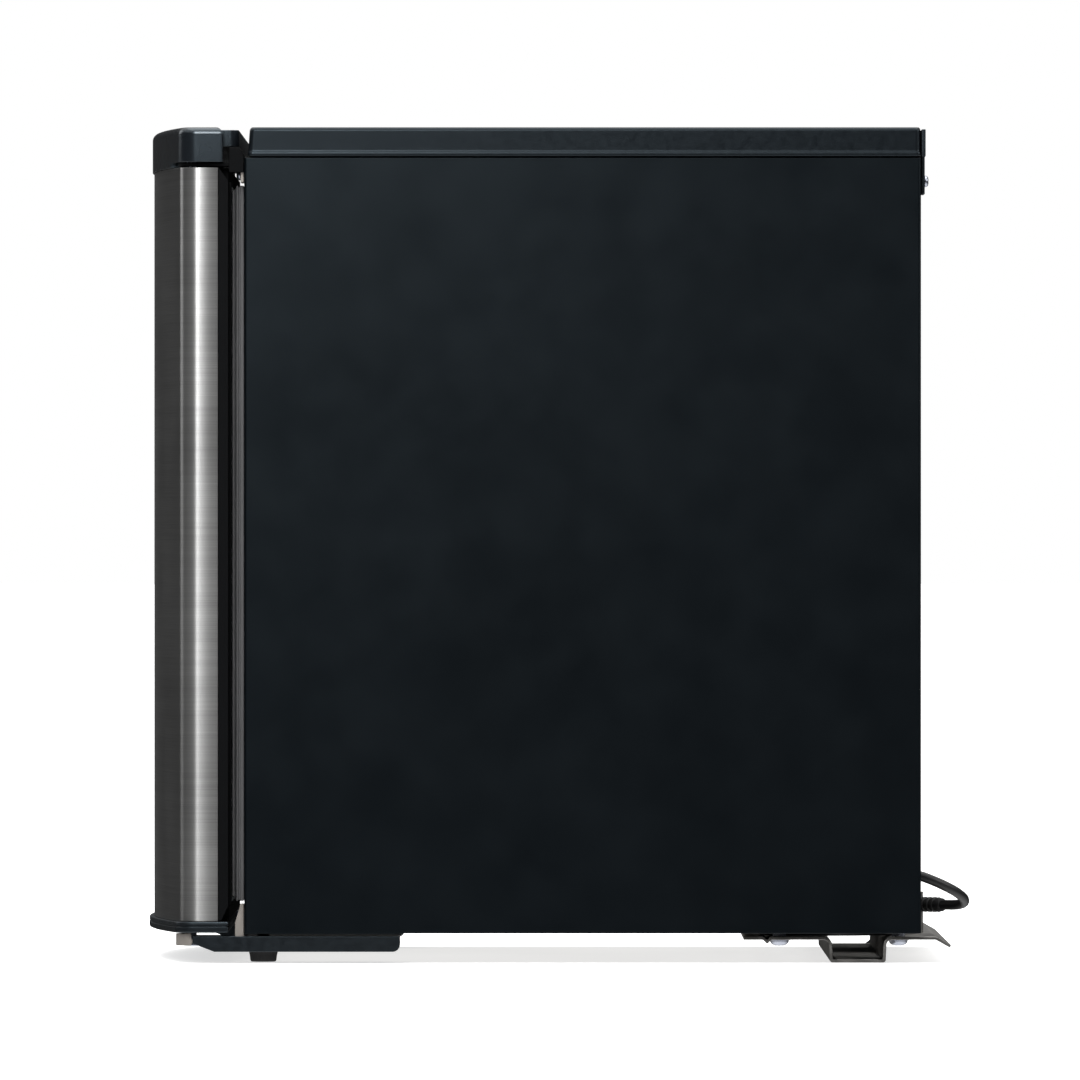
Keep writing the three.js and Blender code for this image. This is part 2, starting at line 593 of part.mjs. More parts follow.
function doorFoam() {
  const step = door.rear - GAP;
  const inner = trimInner - GAP;
  const back = liner.plane - 1.8;
  const plan = [...insetFace(door, 1.1, step), [-inner, step], [-inner, back], [inner, back], [inner, step]];
  const bush = cylinder(5.9, [461.4, 500], [pivot.x, pivot.y], 24);
  return cut(prismZ(plan, [door.low + GAP, door.high]), bush);
}

function doorTopCap() {
  const bevel = 4;
  const face = insetFace(cap, 0, cap.rear);
  const body = prismZ(face, [cap.low - 10, cap.high - bevel], {
    bevelEnabled: true, bevelThickness: bevel, bevelSize: bevel, bevelOffset: -bevel, bevelSegments: 3 });
  const below = block([-300, 300], [-300, 0], [cap.low - 40, cap.low]);
  const pinRoom = cylinder(pivot.pin + 1.5, [cap.low - 5, 482], [pivot.x, pivot.y]);
  const rearEdge = [[-206, cap.rear - 4], [214, cap.rear - 4], ...arc([209, -189.3], 5, 0, 90, 4),
    ...arc([-201, -189.3], 5, 90, 180, 4)];
  const ledge = prismZ(rearEdge, [488.6, 498.5]);
  const slot = block([186, 230], [-229.5, -190], [cap.low - 5, topPlate.high + 0.6]);
  return cut(join(body, ledge), below, slot, pinRoom);
}

function doorBottomCap() {
  const body = prismZ(insetFace(sill, 0, sill.rear), [sill.low, sill.high]);
  const boss = cylinder(6, [arm.high + 0.4, sill.low + 1], [pivot.x, pivot.y], 24);
  return cut(join(body, boss), cylinder(pivot.bore, [5, 30], [pivot.x, pivot.y]));
}

function doorTrim(side) {
  const back = liner.plane - 1.8;
  const front = door.rear + GAP;
  const profile = [[front, door.low + GAP], [front + 1.5, door.low + GAP], [back, 34], [back, 468], [front, door.high]];
  const right = prismX(profile, [trimInner, door.half - GAP]);
  if (side > 0) return right;
  return mirrorX(cut(right, block([grip.inner, 230], [grip.floor, -180], [grip.low, grip.high])));
}

function doorLiner() {
  const flange = block([-207, 207], [liner.plane - 1.5, liner.plane], [36, 465]);
  const dyke = cut(
    block([-liner.dykeHalf, liner.dykeHalf], [liner.plane - 0.5, liner.dykeBack], [liner.dykeLow, liner.dykeHigh]),
    block([-liner.dykeHalf + liner.dykeWall, liner.dykeHalf - liner.dykeWall], [liner.plane, 0],
      [liner.dykeLow + 10, liner.dykeHigh - 10]));
  const ledges = [-1, 1].map((side) => {
    const xs = [(liner.dykeHalf - liner.dykeWall + 1) * side, 152 * side];
    return block([Math.min(...xs), Math.max(...xs)], [liner.plane - 0.5, -176], [238.7, 243.7]);
  });
  return join(flange, dyke, ...ledges);
}

function gasket() {
  const ring = (outerX, [z0, z1], width, ys) => prismY(
    rectangle([-outerX, outerX], [z0, z1]), ys,
    rectangle([-outerX + width, outerX - width], [z0 + width, z1 - width]));
  return join(
    ring(203, [36.6, 465.4], 12, [-186, cab.front - 0.4]),
    ring(200, [39.6, 462.4], 6, [liner.plane + GAP, -185]));
}

function doorBin([z0, z1], depth) {
  const front = bins.back + depth;
  const w = bins.wall;
  return cut(
    block([-bins.half, bins.half], [bins.back, front], [z0, z1]),
    block([-bins.half + w, bins.half - w], [bins.back + w, front - w], [z0 + w, z1 + 5]));
}

add('door_skin', doorSkin(), brushedSteel);
add('door_foam', doorFoam(), foamYellow);
add('door_top_cap', doorTopCap(), glossBlack);
add('door_bottom_cap', doorBottomCap(), blackPlastic);
add('door_trim_left', doorTrim(-1), blackPlastic);
add('door_trim_right', doorTrim(1), blackPlastic);
add('door_liner', doorLiner(), whitePlastic);
add('door_gasket', gasket(), greyRubber);
add('door_hinge_bushing', cut(
  cylinder(5.6, [462, door.high], [pivot.x, pivot.y], 24),
  cylinder(pivot.bore, [463.5, 490], [pivot.x, pivot.y])), blackPlastic);
add('door_upper_bin', doorBin([244, 288], 60), clearPlastic);
add('door_lower_bin', doorBin([62.4, 150], 80), clearPlastic);

export default fridge;
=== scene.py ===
"""Looks of the compact refrigerator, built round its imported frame. Metres, +Z up, front towards -Y."""

import json
import math

import bmesh  # noqa: E402
import bpy  # noqa: E402
from mathutils import Matrix, Vector  # noqa: E402

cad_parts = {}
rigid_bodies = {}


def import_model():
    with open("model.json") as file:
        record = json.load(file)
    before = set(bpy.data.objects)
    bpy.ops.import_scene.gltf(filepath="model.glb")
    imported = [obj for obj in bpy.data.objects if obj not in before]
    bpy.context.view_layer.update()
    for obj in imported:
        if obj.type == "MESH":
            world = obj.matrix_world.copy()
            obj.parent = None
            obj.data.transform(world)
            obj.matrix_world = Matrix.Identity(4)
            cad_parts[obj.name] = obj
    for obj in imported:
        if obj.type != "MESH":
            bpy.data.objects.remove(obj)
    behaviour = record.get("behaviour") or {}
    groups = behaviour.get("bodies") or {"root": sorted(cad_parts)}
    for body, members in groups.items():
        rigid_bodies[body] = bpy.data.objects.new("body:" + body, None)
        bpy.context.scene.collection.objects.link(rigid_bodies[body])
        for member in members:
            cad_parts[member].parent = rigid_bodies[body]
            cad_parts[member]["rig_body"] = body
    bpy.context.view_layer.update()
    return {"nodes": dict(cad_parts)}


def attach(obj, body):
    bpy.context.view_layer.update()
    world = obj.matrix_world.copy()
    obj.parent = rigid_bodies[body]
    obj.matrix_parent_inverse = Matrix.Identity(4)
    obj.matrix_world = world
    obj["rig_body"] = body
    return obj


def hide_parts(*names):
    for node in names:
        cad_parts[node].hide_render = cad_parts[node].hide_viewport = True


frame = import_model()
NODES = frame["nodes"]
MM = 0.001

# driving sizes in millimetres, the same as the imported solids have
WIDEST = 222.5  # half the width over the worktop and the door's caps
SIDE = 221.5  # half the width over the side panels and the door's steel
CABINET_FRONT, CABINET_BACK = -181, 224
UNDERSIDE = 17.6
STEEL_FRONT = -239.3
SHEET = 1.0  # the thickness of the painted sheet
PIVOT = (208, -212.6)  # where the door's hinge axis stands


# ---------------------------------------------------------------- camera
def make_camera():
    """A long lens far out on +X, level with the middle of the cabinet."""
    data = bpy.data.cameras.new("camera")
    data.sensor_width = 36
    data.lens = 585
    data.clip_start, data.clip_end = 1, 120
    camera = bpy.data.objects.new("camera", data)
    camera.location = (10.7225, -0.004, 0.253)
    camera.rotation_euler = (math.radians(90), 0, math.radians(90))
    bpy.context.scene.collection.objects.link(camera)
    bpy.context.scene.camera = camera


make_camera()


# ---------------------------------------------------------------- materials
class Nodes:
    """A small helper that adds and joins shader nodes."""

    def __init__(self, tree):
        self.tree = tree
        tree.nodes.clear()

    def add(self, kind, links=None, **values):
        node = self.tree.nodes.new(kind)
        for key, value in values.items():
            if hasattr(node, key):
                setattr(node, key, value)
            else:
                node.inputs[key].default_value = value
        for key, source in (links or {}).items():
            self.tree.links.new(source, node.inputs[key])
        return node

    def math(self, operation, a, b):
        node = self.tree.nodes.new("ShaderNodeMath")
        node.operation = operation
        for i, value in enumerate((a, b)):
            if isinstance(value, (int, float)):
                node.inputs[i].default_value = value
            else:
                self.tree.links.new(value, node.inputs[i])
        return node.outputs[0]

    def noise(self, where, scale, detail=3.0, stretch=(1, 1, 1)):
        mapping = self.add("ShaderNodeMapping", {"Vector": where})
        mapping.inputs["Scale"].default_value = stretch
        node = self.add("ShaderNodeTexNoise", {"Vector": mapping.outputs[0]}, Scale=scale, Detail=detail)
        return node.outputs["Fac"]

    def spread(self, value, low, high):
        """Maps a noise value, which lies mostly from 0.3 to 0.7, to a range."""
        node = self.add("ShaderNodeMapRange", {"Value": value})
        for i, number in zip((1, 2, 3, 4), (0.3, 0.7, low, high)):
            node.inputs[i].default_value = number
        return node.outputs[0]


def material(slot, colour, rough, metal=0.0, tone=0.08, tone_scale=7.0, rough_range=0.05, rough_scale=60.0,
             grain=None, grain_scale=900.0, grain_stretch=(1, 1, 1), second=None, patches=None, sockets=None):
    """A procedural finish: a slow drift of tone, uneven gloss, and a fine grain in the surface."""
    made = bpy.data.materials.new(slot)
    made.use_nodes = True
    n = Nodes(made.node_tree)
    shader = n.add("ShaderNodeBsdfPrincipled")
    where = n.add("ShaderNodeTexCoord").outputs["Object"]
    drift = n.spread(n.noise(where, tone_scale), 0.0, 1.0)
    dark = [c * (1 - tone) for c in colour]
    light = [min(1.0, c * (1 + tone)) for c in (second or colour)]
    mix = n.add("ShaderNodeMix", data_type="RGBA")
    n.tree.links.new(drift if patches is None else patches(n, where, drift), mix.inputs["Factor"])
    mix.inputs[6].default_value = (*dark, 1)
    mix.inputs[7].default_value = (*light, 1)
    n.tree.links.new(mix.outputs[2], shader.inputs["Base Color"])
    uneven = n.noise(where, rough_scale, 4.0)
    n.tree.links.new(n.spread(uneven, rough - rough_range, rough + rough_range), shader.inputs["Roughness"])
    shader.inputs["Metallic"].default_value = metal
    for key, value in (sockets or {}).items():
        shader.inputs[key].default_value = value
    if grain:
        height = n.noise(where, grain_scale, 3.0, grain_stretch)
        bump = n.add("ShaderNodeBump", {"Height": height}, Strength=grain, Distance=0.0001)
        n.tree.links.new(bump.outputs[0], shader.inputs["Normal"])
    out = n.add("ShaderNodeOutputMaterial")
    n.tree.links.new(shader.outputs[0], out.inputs[0])
    made["slot"] = slot
    return made


def sheen(level):
    """The sockets of a black finish: how strong its sheen is, and the faint blue in it."""
    return {"Specular IOR Level": level, "Specular Tint": (0.70, 0.88, 1.0, 1)}


def spangle(n, where, drift):
    """Crystal patches of hot-dip galvanising."""
    cells = n.add("ShaderNodeTexVoronoi", {"Vector": where}, Scale=150.0)
    value = n.add("ShaderNodeSeparateColor", {"Color": cells.outputs["Color"]}).outputs[0]
    return n.math("ADD", n.math("MULTIPLY", value, 0.65), n.math("MULTIPLY", drift, 0.35))


def fine_lines(n, where, drift):
    """Brush lines that run level round the door."""
    lines = n.noise(where, 1.0, 6.0, (9.0, 9.0, 2600.0))
    broad = n.noise(where, 1.0, 2.0, (3.0, 3.0, 260.0))
    return n.spread(n.math("ADD", n.math("MULTIPLY", lines, 0.75), n.math("MULTIPLY", broad, 0.25)), 0.0, 1.0)


PAINT = material("black_paint", (0.0012, 0.0018, 0.0025), 0.33, tone=0.15, rough_range=0.03, rough_scale=30,
                 grain=0.12, grain_scale=700, sockets=sheen(0.25))
WORKTOP = material("worktop_black", (0.0030, 0.0038, 0.0049), 0.33, rough_range=0.05, rough_scale=300,
                   grain=0.3, grain_scale=1500, sockets=sheen(0.26))
PLASTIC = material("black_plastic", (0.0040, 0.0045, 0.0054), 0.38, rough_range=0.06, rough_scale=220,
                   grain=0.35, grain_scale=1800, sockets=sheen(0.42))
# Black plastic made darker and almost without sheen: partly its own matte black, partly painted shade for
# parts and faces that sit in shadow between the door and the cabinet.
MATTE_BLACK_AND_SHADE = material("black_plastic", (0.0016, 0.0018, 0.0022), 0.6, rough_range=0.05, rough_scale=260,
                 grain=0.4, grain_scale=1400, sockets={"Specular IOR Level": 0.06})
GLOSS = material("gloss_black", (0.0042, 0.0052, 0.0068), 0.27, tone=0.1, rough_range=0.015, rough_scale=25,
                 sockets={**sheen(0.5), "Coat Weight": 0.35, "Coat Roughness": 0.08})
STEEL = material("brushed_steel", (0.32, 0.32, 0.318), 0.36, 1.0, tone=0.1, rough_range=0.03, rough_scale=12,
                 second=(0.44, 0.44, 0.435), patches=fine_lines,
                 sockets={"Anisotropic": 0.75, "Anisotropic Rotation": 0.25})
ZINC = material("zinc", (0.24, 0.235, 0.22), 0.4, 1.0, second=(0.40, 0.39, 0.375), tone=0.05,
                rough_range=0.08, rough_scale=90, grain=0.25, grain_scale=500, patches=spangle)
PLATED = material("zinc", (0.20, 0.18, 0.16), 0.5, 0.6, second=(0.27, 0.25, 0.23), tone_scale=40,
                  rough_range=0.06, rough_scale=150, grain=0.2, grain_scale=700)
BOLT = material("zinc", (0.28, 0.30, 0.36), 0.28, 1.0, second=(0.42, 0.44, 0.5), tone_scale=120,
                rough_scale=400, grain=0.2, grain_scale=1500)
FOAM = material("foam", (0.66, 0.56, 0.28), 0.9, second=(0.76, 0.68, 0.4), tone_scale=40, grain=2.0,
                grain_scale=350)
WHITE = material("white_plastic", (0.80, 0.82, 0.83), 0.32, tone=0.02, rough_range=0.02, rough_scale=90)
GREY_RUBBER = material("grey_rubber", (0.085, 0.085, 0.088), 0.6, tone_scale=25, rough_scale=200, grain=0.6,
                       grain_scale=1400)
RUBBER = material("black_rubber", (0.008, 0.008, 0.0088), 0.6, tone=0.2, tone_scale=60, rough_scale=300,
                  grain=0.7, grain_scale=1300)
ENAMEL = material("compressor_paint", (0.009, 0.009, 0.010), 0.2, tone=0.2, rough_range=0.07, rough_scale=45,
                  grain=0.6, grain_scale=240, sockets={"Coat Weight": 0.3, "Coat Roughness": 0.1})
COPPER = material("copper", (0.42, 0.19, 0.10), 0.34, 1.0, second=(0.58, 0.29, 0.17), tone_scale=30,
                  rough_range=0.12, rough_scale=120, grain=0.2, grain_scale=800)
CORD = material("cord_black", (0.0055, 0.0058, 0.0062), 0.42, tone=0.15, tone_scale=30, rough_scale=250,
                grain=0.4, grain_scale=1600, sockets={"Specular IOR Level": 0.4})
ALUMINIUM = material("aluminium", (0.55, 0.56, 0.57), 0.4, 1.0, second=(0.66, 0.67, 0.68), tone_scale=20,
                     rough_range=0.08, rough_scale=80, grain=0.3, grain_scale=1.0,
                     grain_stretch=(1200, 30, 30))
CLEAR = material("clear_plastic", (0.86, 0.90, 0.92), 0.12, tone=0.03, rough_range=0.05, rough_scale=60,
                 grain=0.1, grain_scale=120, sockets={"Transmission Weight": 0.8, "IOR": 1.46})
GLASS = material("shelf_glass", (0.80, 0.90, 0.86), 0.05, tone=0.02, rough_range=0.02, rough_scale=40,
                 grain=0.03, grain_scale=60, sockets={"Transmission Weight": 0.95, "IOR": 1.5})


# ---------------------------------------------------------------- mesh helpers
def emit(name, bm, node, finish, edge=0.3, segments=2, limit=30.0, body=None):
    """Turns a bmesh, in millimetres, into a piece that stands for a CAD node: edges rounded, faces smooth."""
    bmesh.ops.remove_doubles(bm, verts=bm.verts, dist=0.002)
    bmesh.ops.recalc_face_normals(bm, faces=bm.faces)
    if edge:
        sharp = [e for e in bm.edges if len(e.link_faces) == 2 and e.calc_face_angle(0) > math.radians(limit)]
        if sharp:
            bmesh.ops.bevel(bm, geom=sharp, offset=edge, offset_type="OFFSET", segments=segments, profile=0.5,
                            affect="EDGES", clamp_overlap=False)
    for face in bm.faces:
        face.smooth = True
    for e in bm.edges:
        e.smooth = len(e.link_faces) == 2 and e.calc_face_angle(0) < math.radians(48)
    bmesh.ops.transform(bm, matrix=Matrix.Scale(MM, 4), verts=bm.verts)
    mesh = bpy.data.meshes.new(name)
    bm.to_mesh(mesh)
    bm.free()
    obj = bpy.data.objects.new(name, mesh)
    bpy.context.scene.collection.objects.link(obj)
    return dress(obj, node, finish, body)


def dress(obj, node, finish, body=None):
    """Gives a piece its finish and its body, and hides the CAD nodes that it stands for."""
    obj.data.materials.clear()
    obj.data.materials.append(finish)
    if obj.type == "MESH":
        weighted = obj.modifiers.new("normals", "WEIGHTED_NORMAL")
        weighted.keep_sharp = True
    nodes = [node] if isinstance(node, str) else list(node)
    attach(obj, body or NODES[nodes[0]]["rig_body"])
    if nodes:
        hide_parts(*nodes)
    return obj


def node_mesh(node):
    """The CAD node's shape as a bmesh in millimetres, with its flat faces whole again."""
    bm = bmesh.new()
    bm.from_mesh(NODES[node].data)
    bmesh.ops.transform(bm, matrix=Matrix.Scale(1 / MM, 4), verts=bm.verts)
    bmesh.ops.remove_doubles(bm, verts=bm.verts, dist=0.01)
    bmesh.ops.dissolve_limit(bm, angle_limit=math.radians(0.8), verts=bm.verts, edges=bm.edges)
    return bm


def from_node(node, finish, edge=0.3, segments=2):
    """A piece of the CAD node's own shape, with its edges rounded."""
    return emit(f"{node}_fine", node_mesh(node), node, finish, edge, segments)


def paint_part(obj, finish, chosen):
    """Gives another finish to the faces whose centre is chosen."""
    obj.data.materials.append(finish)
    for face in obj.data.polygons:
        if chosen(face.center):
            face.material_index = 1
    return obj


def loft(bm, rings, closed=True):
    """Joins rings of points with faces, and closes the two ends."""
    rows = [[bm.verts.new(p) for p in ring] for ring in rings]
    count = len(rows[0])
    for a, b in zip(rows, rows[1:]):
        for i in range(count if closed else count - 1):
            j = (i + 1) % count
            bm.faces.new((a[i], a[j], b[j], b[i]))
    bm.faces.new(list(reversed(rows[0])))
    bm.faces.new(rows[-1])
    return bm


def loop(bm, rings):
    """Joins rings of points with faces, and the last ring to the first."""
    rows = [[bm.verts.new(p) for p in ring] for ring in rings]
    for a, b in zip(rows, rows[1:] + rows[:1]):
        for i in range(len(a)):
            j = (i + 1) % len(a)
            bm.faces.new((a[i], a[j], b[j], b[i]))
    return bm


def polar(centre, radius, degrees):
    """The point at a radius and an angle from a centre."""
    turn = math.radians(degrees)
    return centre[0] + radius * math.cos(turn), centre[1] + radius * math.sin(turn)


def arc(centre, radius, start, end, steps):
    return [polar(centre, radius, start + (end - start) * i / steps) for i in range(steps + 1)]


def hexagon(centre, radius):
    return [polar(centre, radius, degrees) for degrees in range(0, 360, 60)]


def edge_roll(radius, start, step):
    """How far in and how far up a rolled edge has got, from upright to level."""
    turns = [math.radians(degrees) for degrees in range(start, 91, step)]
    return [(radius * (1 - math.cos(t)), radius * math.sin(t)) for t in turns]


def rounded(points, radius, steps=6, closed=True):
    """The outline with its corners rounded; radius is one number, or one for each corner."""
    made, count = [], len(points)
    for i, p in enumerate(points):
        r = radius[i] if isinstance(radius, (list, tuple)) else radius
        if r <= 0 or (not closed and i in (0, count - 1)):
            made.append(tuple(p))
            continue
        here = Vector(p)
        before = (Vector(points[i - 1]) - here).normalized()
        after = (Vector(points[(i + 1) % count]) - here).normalized()
        half = before.angle(after) / 2
        reach = r / math.tan(half)
        centre = here + (before + after).normalized() * (r / math.sin(half))
        a, b = here + before * reach - centre, here + after * reach - centre
        start = math.atan2(a.y, a.x)
        turn = math.atan2(a.x * b.y - a.y * b.x, a.dot(b))
        for k in range(steps + 1):
            angle = start + turn * k / steps
            made.append((centre.x + r * math.cos(angle), centre.y + r * math.sin(angle)))
    return made


def rectangle(x0, x1, y0, y1):
    return [(x0, y0), (x1, y0), (x1, y1), (x0, y1)]


def sheet(path, thickness, bend=2.0, steps=6):
    """The outline of a bent sheet: the path is its outer side, and the thickness lies to its left."""
    line = rounded(path, bend, steps, closed=False)
    inner = []
    for i, p in enumerate(line):
        a = Vector(line[max(i - 1, 0)])
        b = Vector(line[min(i + 1, len(line) - 1)])
        way = (b - a).normalized()
        inner.append((p[0] - way.y * thickness, p[1] + way.x * thickness))
    return line + inner[::-1]


def to_z(p, h):
    """An (x, y) outline laid level, at a height."""
    return p[0], p[1], h


def to_x(p, h):
    """A (y, z) outline stood across X."""
    return h, p[0], p[1]


def to_y(p, h):
    """An (x, z) outline stood across Y."""
    return p[0], h, p[1]


def prism(bm, outline, low, high, way=to_z):
    return loft(bm, [[way(p, low) for p in outline], [way(p, high) for p in outline]])


def block(bm, xs, ys, zs):
    return prism(bm, rectangle(*xs, *ys), *zs)


def turned(bm, profile, at=(0, 0), sides=64, stretch=(1, 1), place=None):
    """A body of revolution; the profile is (radius, height) pairs, from axis to axis."""
    rings = []
    for r, z in profile:
        r = max(r, 1e-4)
        turns = [2 * math.pi * i / sides for i in range(sides)]
        ring = [Vector((at[0] + r * stretch[0] * math.cos(t), at[1] + r * stretch[1] * math.sin(t), z))
                for t in turns]
        rings.append([place @ p if place else p for p in ring])
    return loft(bm, rings)


def along(start, direction):
    """The placement that lays a piece made along +Z from start in a direction."""
    turn = Vector(direction).normalized().to_track_quat("Z", "Y").to_matrix().to_4x4()
    return Matrix.Translation(Vector(start)) @ turn


def spline(points, steps=12):
    """Points of a smooth curve through the given ones."""
    p = [Vector(q) for q in points]
    p = [2 * p[0] - p[1], *p, 2 * p[-1] - p[-2]]
    made = []
    for i in range(1, len(p) - 2):
        for k in range(steps):
            t = k / steps
            a, b, c, d = p[i - 1], p[i], p[i + 1], p[i + 2]
            made.append(0.5 * ((2 * b) + (c - a) * t + (2 * a - 5 * b + 4 * c - d) * t * t
                               + (3 * b - a - 3 * c + d) * t * t * t))
    return made + [p[-2]]


def wire(name, points, radius, node, finish, resolution=6):
    """A round rod, tube or cord along a line, in millimetres."""
    curve = bpy.data.curves.new(name, "CURVE")
    curve.dimensions = "3D"
    curve.bevel_depth = radius * MM
    curve.bevel_resolution = resolution
    curve.use_fill_caps = True
    line = curve.splines.new("POLY")
    line.points.add(len(points) - 1)
    for place, p in zip(line.points, points):
        place.co = (p[0] * MM, p[1] * MM, p[2] * MM, 1)
    line.use_smooth = True
    obj = bpy.data.objects.new(name, curve)
    bpy.context.scene.collection.objects.link(obj)
    return dress(obj, node, finish)


def carve(bm, *tools):
    """Cuts the tools, each a bmesh, out of a bmesh."""
    def as_object(shape):
        bmesh.ops.recalc_face_normals(shape, faces=shape.faces)
        mesh = bpy.data.meshes.new("cut")
        shape.to_mesh(mesh)
        shape.free()
        obj = bpy.data.objects.new("cut", mesh)
        bpy.context.scene.collection.objects.link(obj)
        return obj

    bmesh.ops.remove_doubles(bm, verts=bm.verts, dist=0.002)
    body = as_object(bm)
    cutters = [as_object(tool) for tool in tools]
    for cutter in cutters:
        step = body.modifiers.new("cut", "BOOLEAN")
        step.operation, step.solver, step.object = "DIFFERENCE", "EXACT", cutter
    result = bmesh.new()
    result.from_object(body, bpy.context.evaluated_depsgraph_get())
    for obj in (body, *cutters):
        mesh = obj.data
        bpy.data.objects.remove(obj)
        bpy.data.meshes.remove(mesh)
    return result


# ---------------------------------------------------------------- mains lead
COIL = (168.0, 168.7)  # the coil's centre
COIL_SWEEP = 2625  # degrees from the coil's first point to its last
COIL_STEP = 7.5
ROWS = (31.2, 25, 18.8)  # heights of the coil's three rows
INNER, MIDDLE, OUTER = 28, 34, 40  # radii of the turns in a row
CORD_RADIUS = 3.0
EXIT = (150.0, 238.5, 33.3)
RELIEF_LENGTH = 34
CORD_ROUTE = [
    EXIT, (153, 241.5, 33.3), (157, 245.4, 33.4), (163, 249.2, 34), (171, 251.1, 35.6),
    (179.5, 250.2, 38.2), (187.5, 246, 41.6), (193.5, 239.5, 45.2), (196.8, 231.5, 48.8), (197.8, 223, 51.8),
    (198.4, 214, 53), (199.2, 205, 51.4), (200.4, 196, 47.6), (201.4, 187, 42.8), (202, 178, 38.4),
]


def step_between(value, marks):
    """A value that eases from one mark to the next: marks are (angle, value) pairs."""
    for (a0, v0), (a1, v1) in zip(marks, marks[1:]):
        if value <= a1:
            t = max(0.0, (value - a0) / (a1 - a0))
            return v0 + (v1 - v0) * t * t * (3 - 2 * t)
    return marks[-1][1]


def winding():
    """The coil's turns: the top row outwards, the middle row inwards, the bottom row outwards."""
    top, middle, bottom = ROWS
    radii = [(0, MIDDLE), (320, MIDDLE), (410, OUTER), (765, OUTER), (830, MIDDLE), (1125, MIDDLE),
             (1190, INNER), (1845, INNER), (1910, MIDDLE), (2205, MIDDLE), (2270, OUTER),
             (COIL_SWEEP, OUTER)]
    heights = [(-12, 36.4), (80, top), (425, top), (500, middle), (1505, middle), (1580, bottom),
               (COIL_SWEEP, bottom)]
    made = []
    for k in range(int(COIL_SWEEP / COIL_STEP) + 1):
        angle = k * COIL_STEP
        x, y = polar(COIL, step_between(angle, radii), -angle)
        made.append((x, y, step_between(angle, heights)))
    return made


LEAVE = 255  # degrees round the coil where the cord's end leaves it
HEADING = Vector((*polar((0, 0), 1, LEAVE - 90), 0))
PLUG_START = Vector((*polar(COIL, OUTER, LEAVE), 0))
PLUG_LOW = 15.72  # the plug lies just above the base plate


def make_plug():
    """A moulded plug with a ribbed neck, two flat blades and a round earth pin."""
    turn = Matrix.Translation(PLUG_START) @ Matrix.Rotation(math.atan2(HEADING.y, HEADING.x), 4, "Z")
    rings = []
    for t, width, low, high in [(46.4, 7.4, 17.5, 33), (48, 8.4, 16.6, 34), (52, 10.8, 15.9, 35.2),
                                (56, 12, 15.75, 35.6), (64, 12.3, 15.72, 35.65), (72, 12.9, 15.7, 35.7),
                                (76, 13.1, 15.75, 35.65), (78.4, 12.3, 16.4, 35), (79, 11.6, 17, 34.4)]:
        ring = rounded(rectangle(-width, width, low, high), min(5.5, width * 0.6), 8)
        rings.append([turn @ Vector((t, y, z)) for y, z in ring])
    body = emit("plug_body", loft(bmesh.new(), rings), "power_plug", CORD, edge=0)
    steps, sides, thickest = 40, 32, 3.9
    rings = []
    for i in range(steps + 1):
        s = i / steps
        wave = 0.35 if int(s * 12) % 2 else -0.35
        r = min(3.4 + 0.5 * s + (wave if 0.1 < s < 0.95 else 0), thickest)
        ring = [polar((0, 19 + 6 * s), r, 360 * k / sides) for k in range(sides)]
        rings.append([turn @ Vector((24.6 + 24.4 * s, y, max(z, PLUG_LOW))) for y, z in ring])
    tail = emit("plug_tail", loft(bmesh.new(), rings), "power_plug", CORD, edge=0)
    bm = bmesh.new()
    blade, thickness = rounded(rectangle(78, 96.5, 23.6, 29.9), [0, 2, 2, 0], 4), 1.5
    for y in (-6.35, 6.35):
        prism(bm, blade, y - thickness / 2, y + thickness / 2, to_y)
    loft(bm, [[(t, *polar((0, 19.6), r, 15 * k)) for k in range(24)]
              for t, r in [(78, 2.4), (97, 2.4), (98.2, 2.0), (99, 1.0)]])
    bmesh.ops.transform(bm, matrix=turn, verts=bm.verts)
    blades = emit("plug_blades", bm, "power_plug", BOLT, edge=0.2)
    return [body, tail, blades]


def make_cord():
    """The lead: its bend behind the cabinet, the coil in the recess, and a straight end into the plug."""
    into_plug = PLUG_START + HEADING * 26
    into_plug.z = 19.2
    points = spline(CORD_ROUTE, 3)[:-1] + [Vector((202.0, 173.5, 36.6))] + [Vector(p) for p in winding()]
    last = points[-1]
    points += [last.lerp(into_plug, k / 4) for k in range(1, 5)]
    cord = wire("mains_cord", points, CORD_RADIUS, ("power_cord", "power_cord_coil"), CORD)
    plug = make_plug()


make_cord()


def make_strain_relief():
    """A tapered moulded relief with rings cut round it, on the way out of the cabinet."""
    profile = [(0, 0), (5.0, 0), (5.2, 0.2), (5.2, 2.0), (5.0, 2.2), (4.6, 2.4), (4.6, 12)]
    for s in (14, 18, 22, 26, 30):
        profile += [(4.6, s - 1.9), (4.5, s - 1.4), (3.75, s - 1.0), (3.7, s), (4.45, s + 0.5),
                    (4.55, s + 0.9)]
    profile += [(4.1, 32.4), (4.0, 33.6), (3.7, 34), (0, 34)]
    start = Vector(EXIT) - Vector((1, 1, 0)).normalized() * RELIEF_LENGTH
    bm = turned(bmesh.new(), profile, sides=48, place=along(start, (1, 1, 0)))
    emit("strain_relief", bm, "cord_strain_relief", RUBBER, edge=0)


make_strain_relief()


# ---------------------------------------------------------------- cabinet
def make_side_panels():
    """Each side is one sheet, folded in at the front and at the back."""
    for side, node in ((1, "right_side_panel"), (-1, "left_side_panel")):
        path = [(188.5, CABINET_FRONT), (SIDE, CABINET_FRONT), (SIDE, CABINET_BACK), (209, CABINET_BACK)]
        outline = [(x * side, y) for x, y in sheet(path, SHEET, 1.8, 8)]
        emit(f"{node}_fine", prism(bmesh.new(), outline, UNDERSIDE, 481.7), node, PAINT, edge=0.25, limit=50)


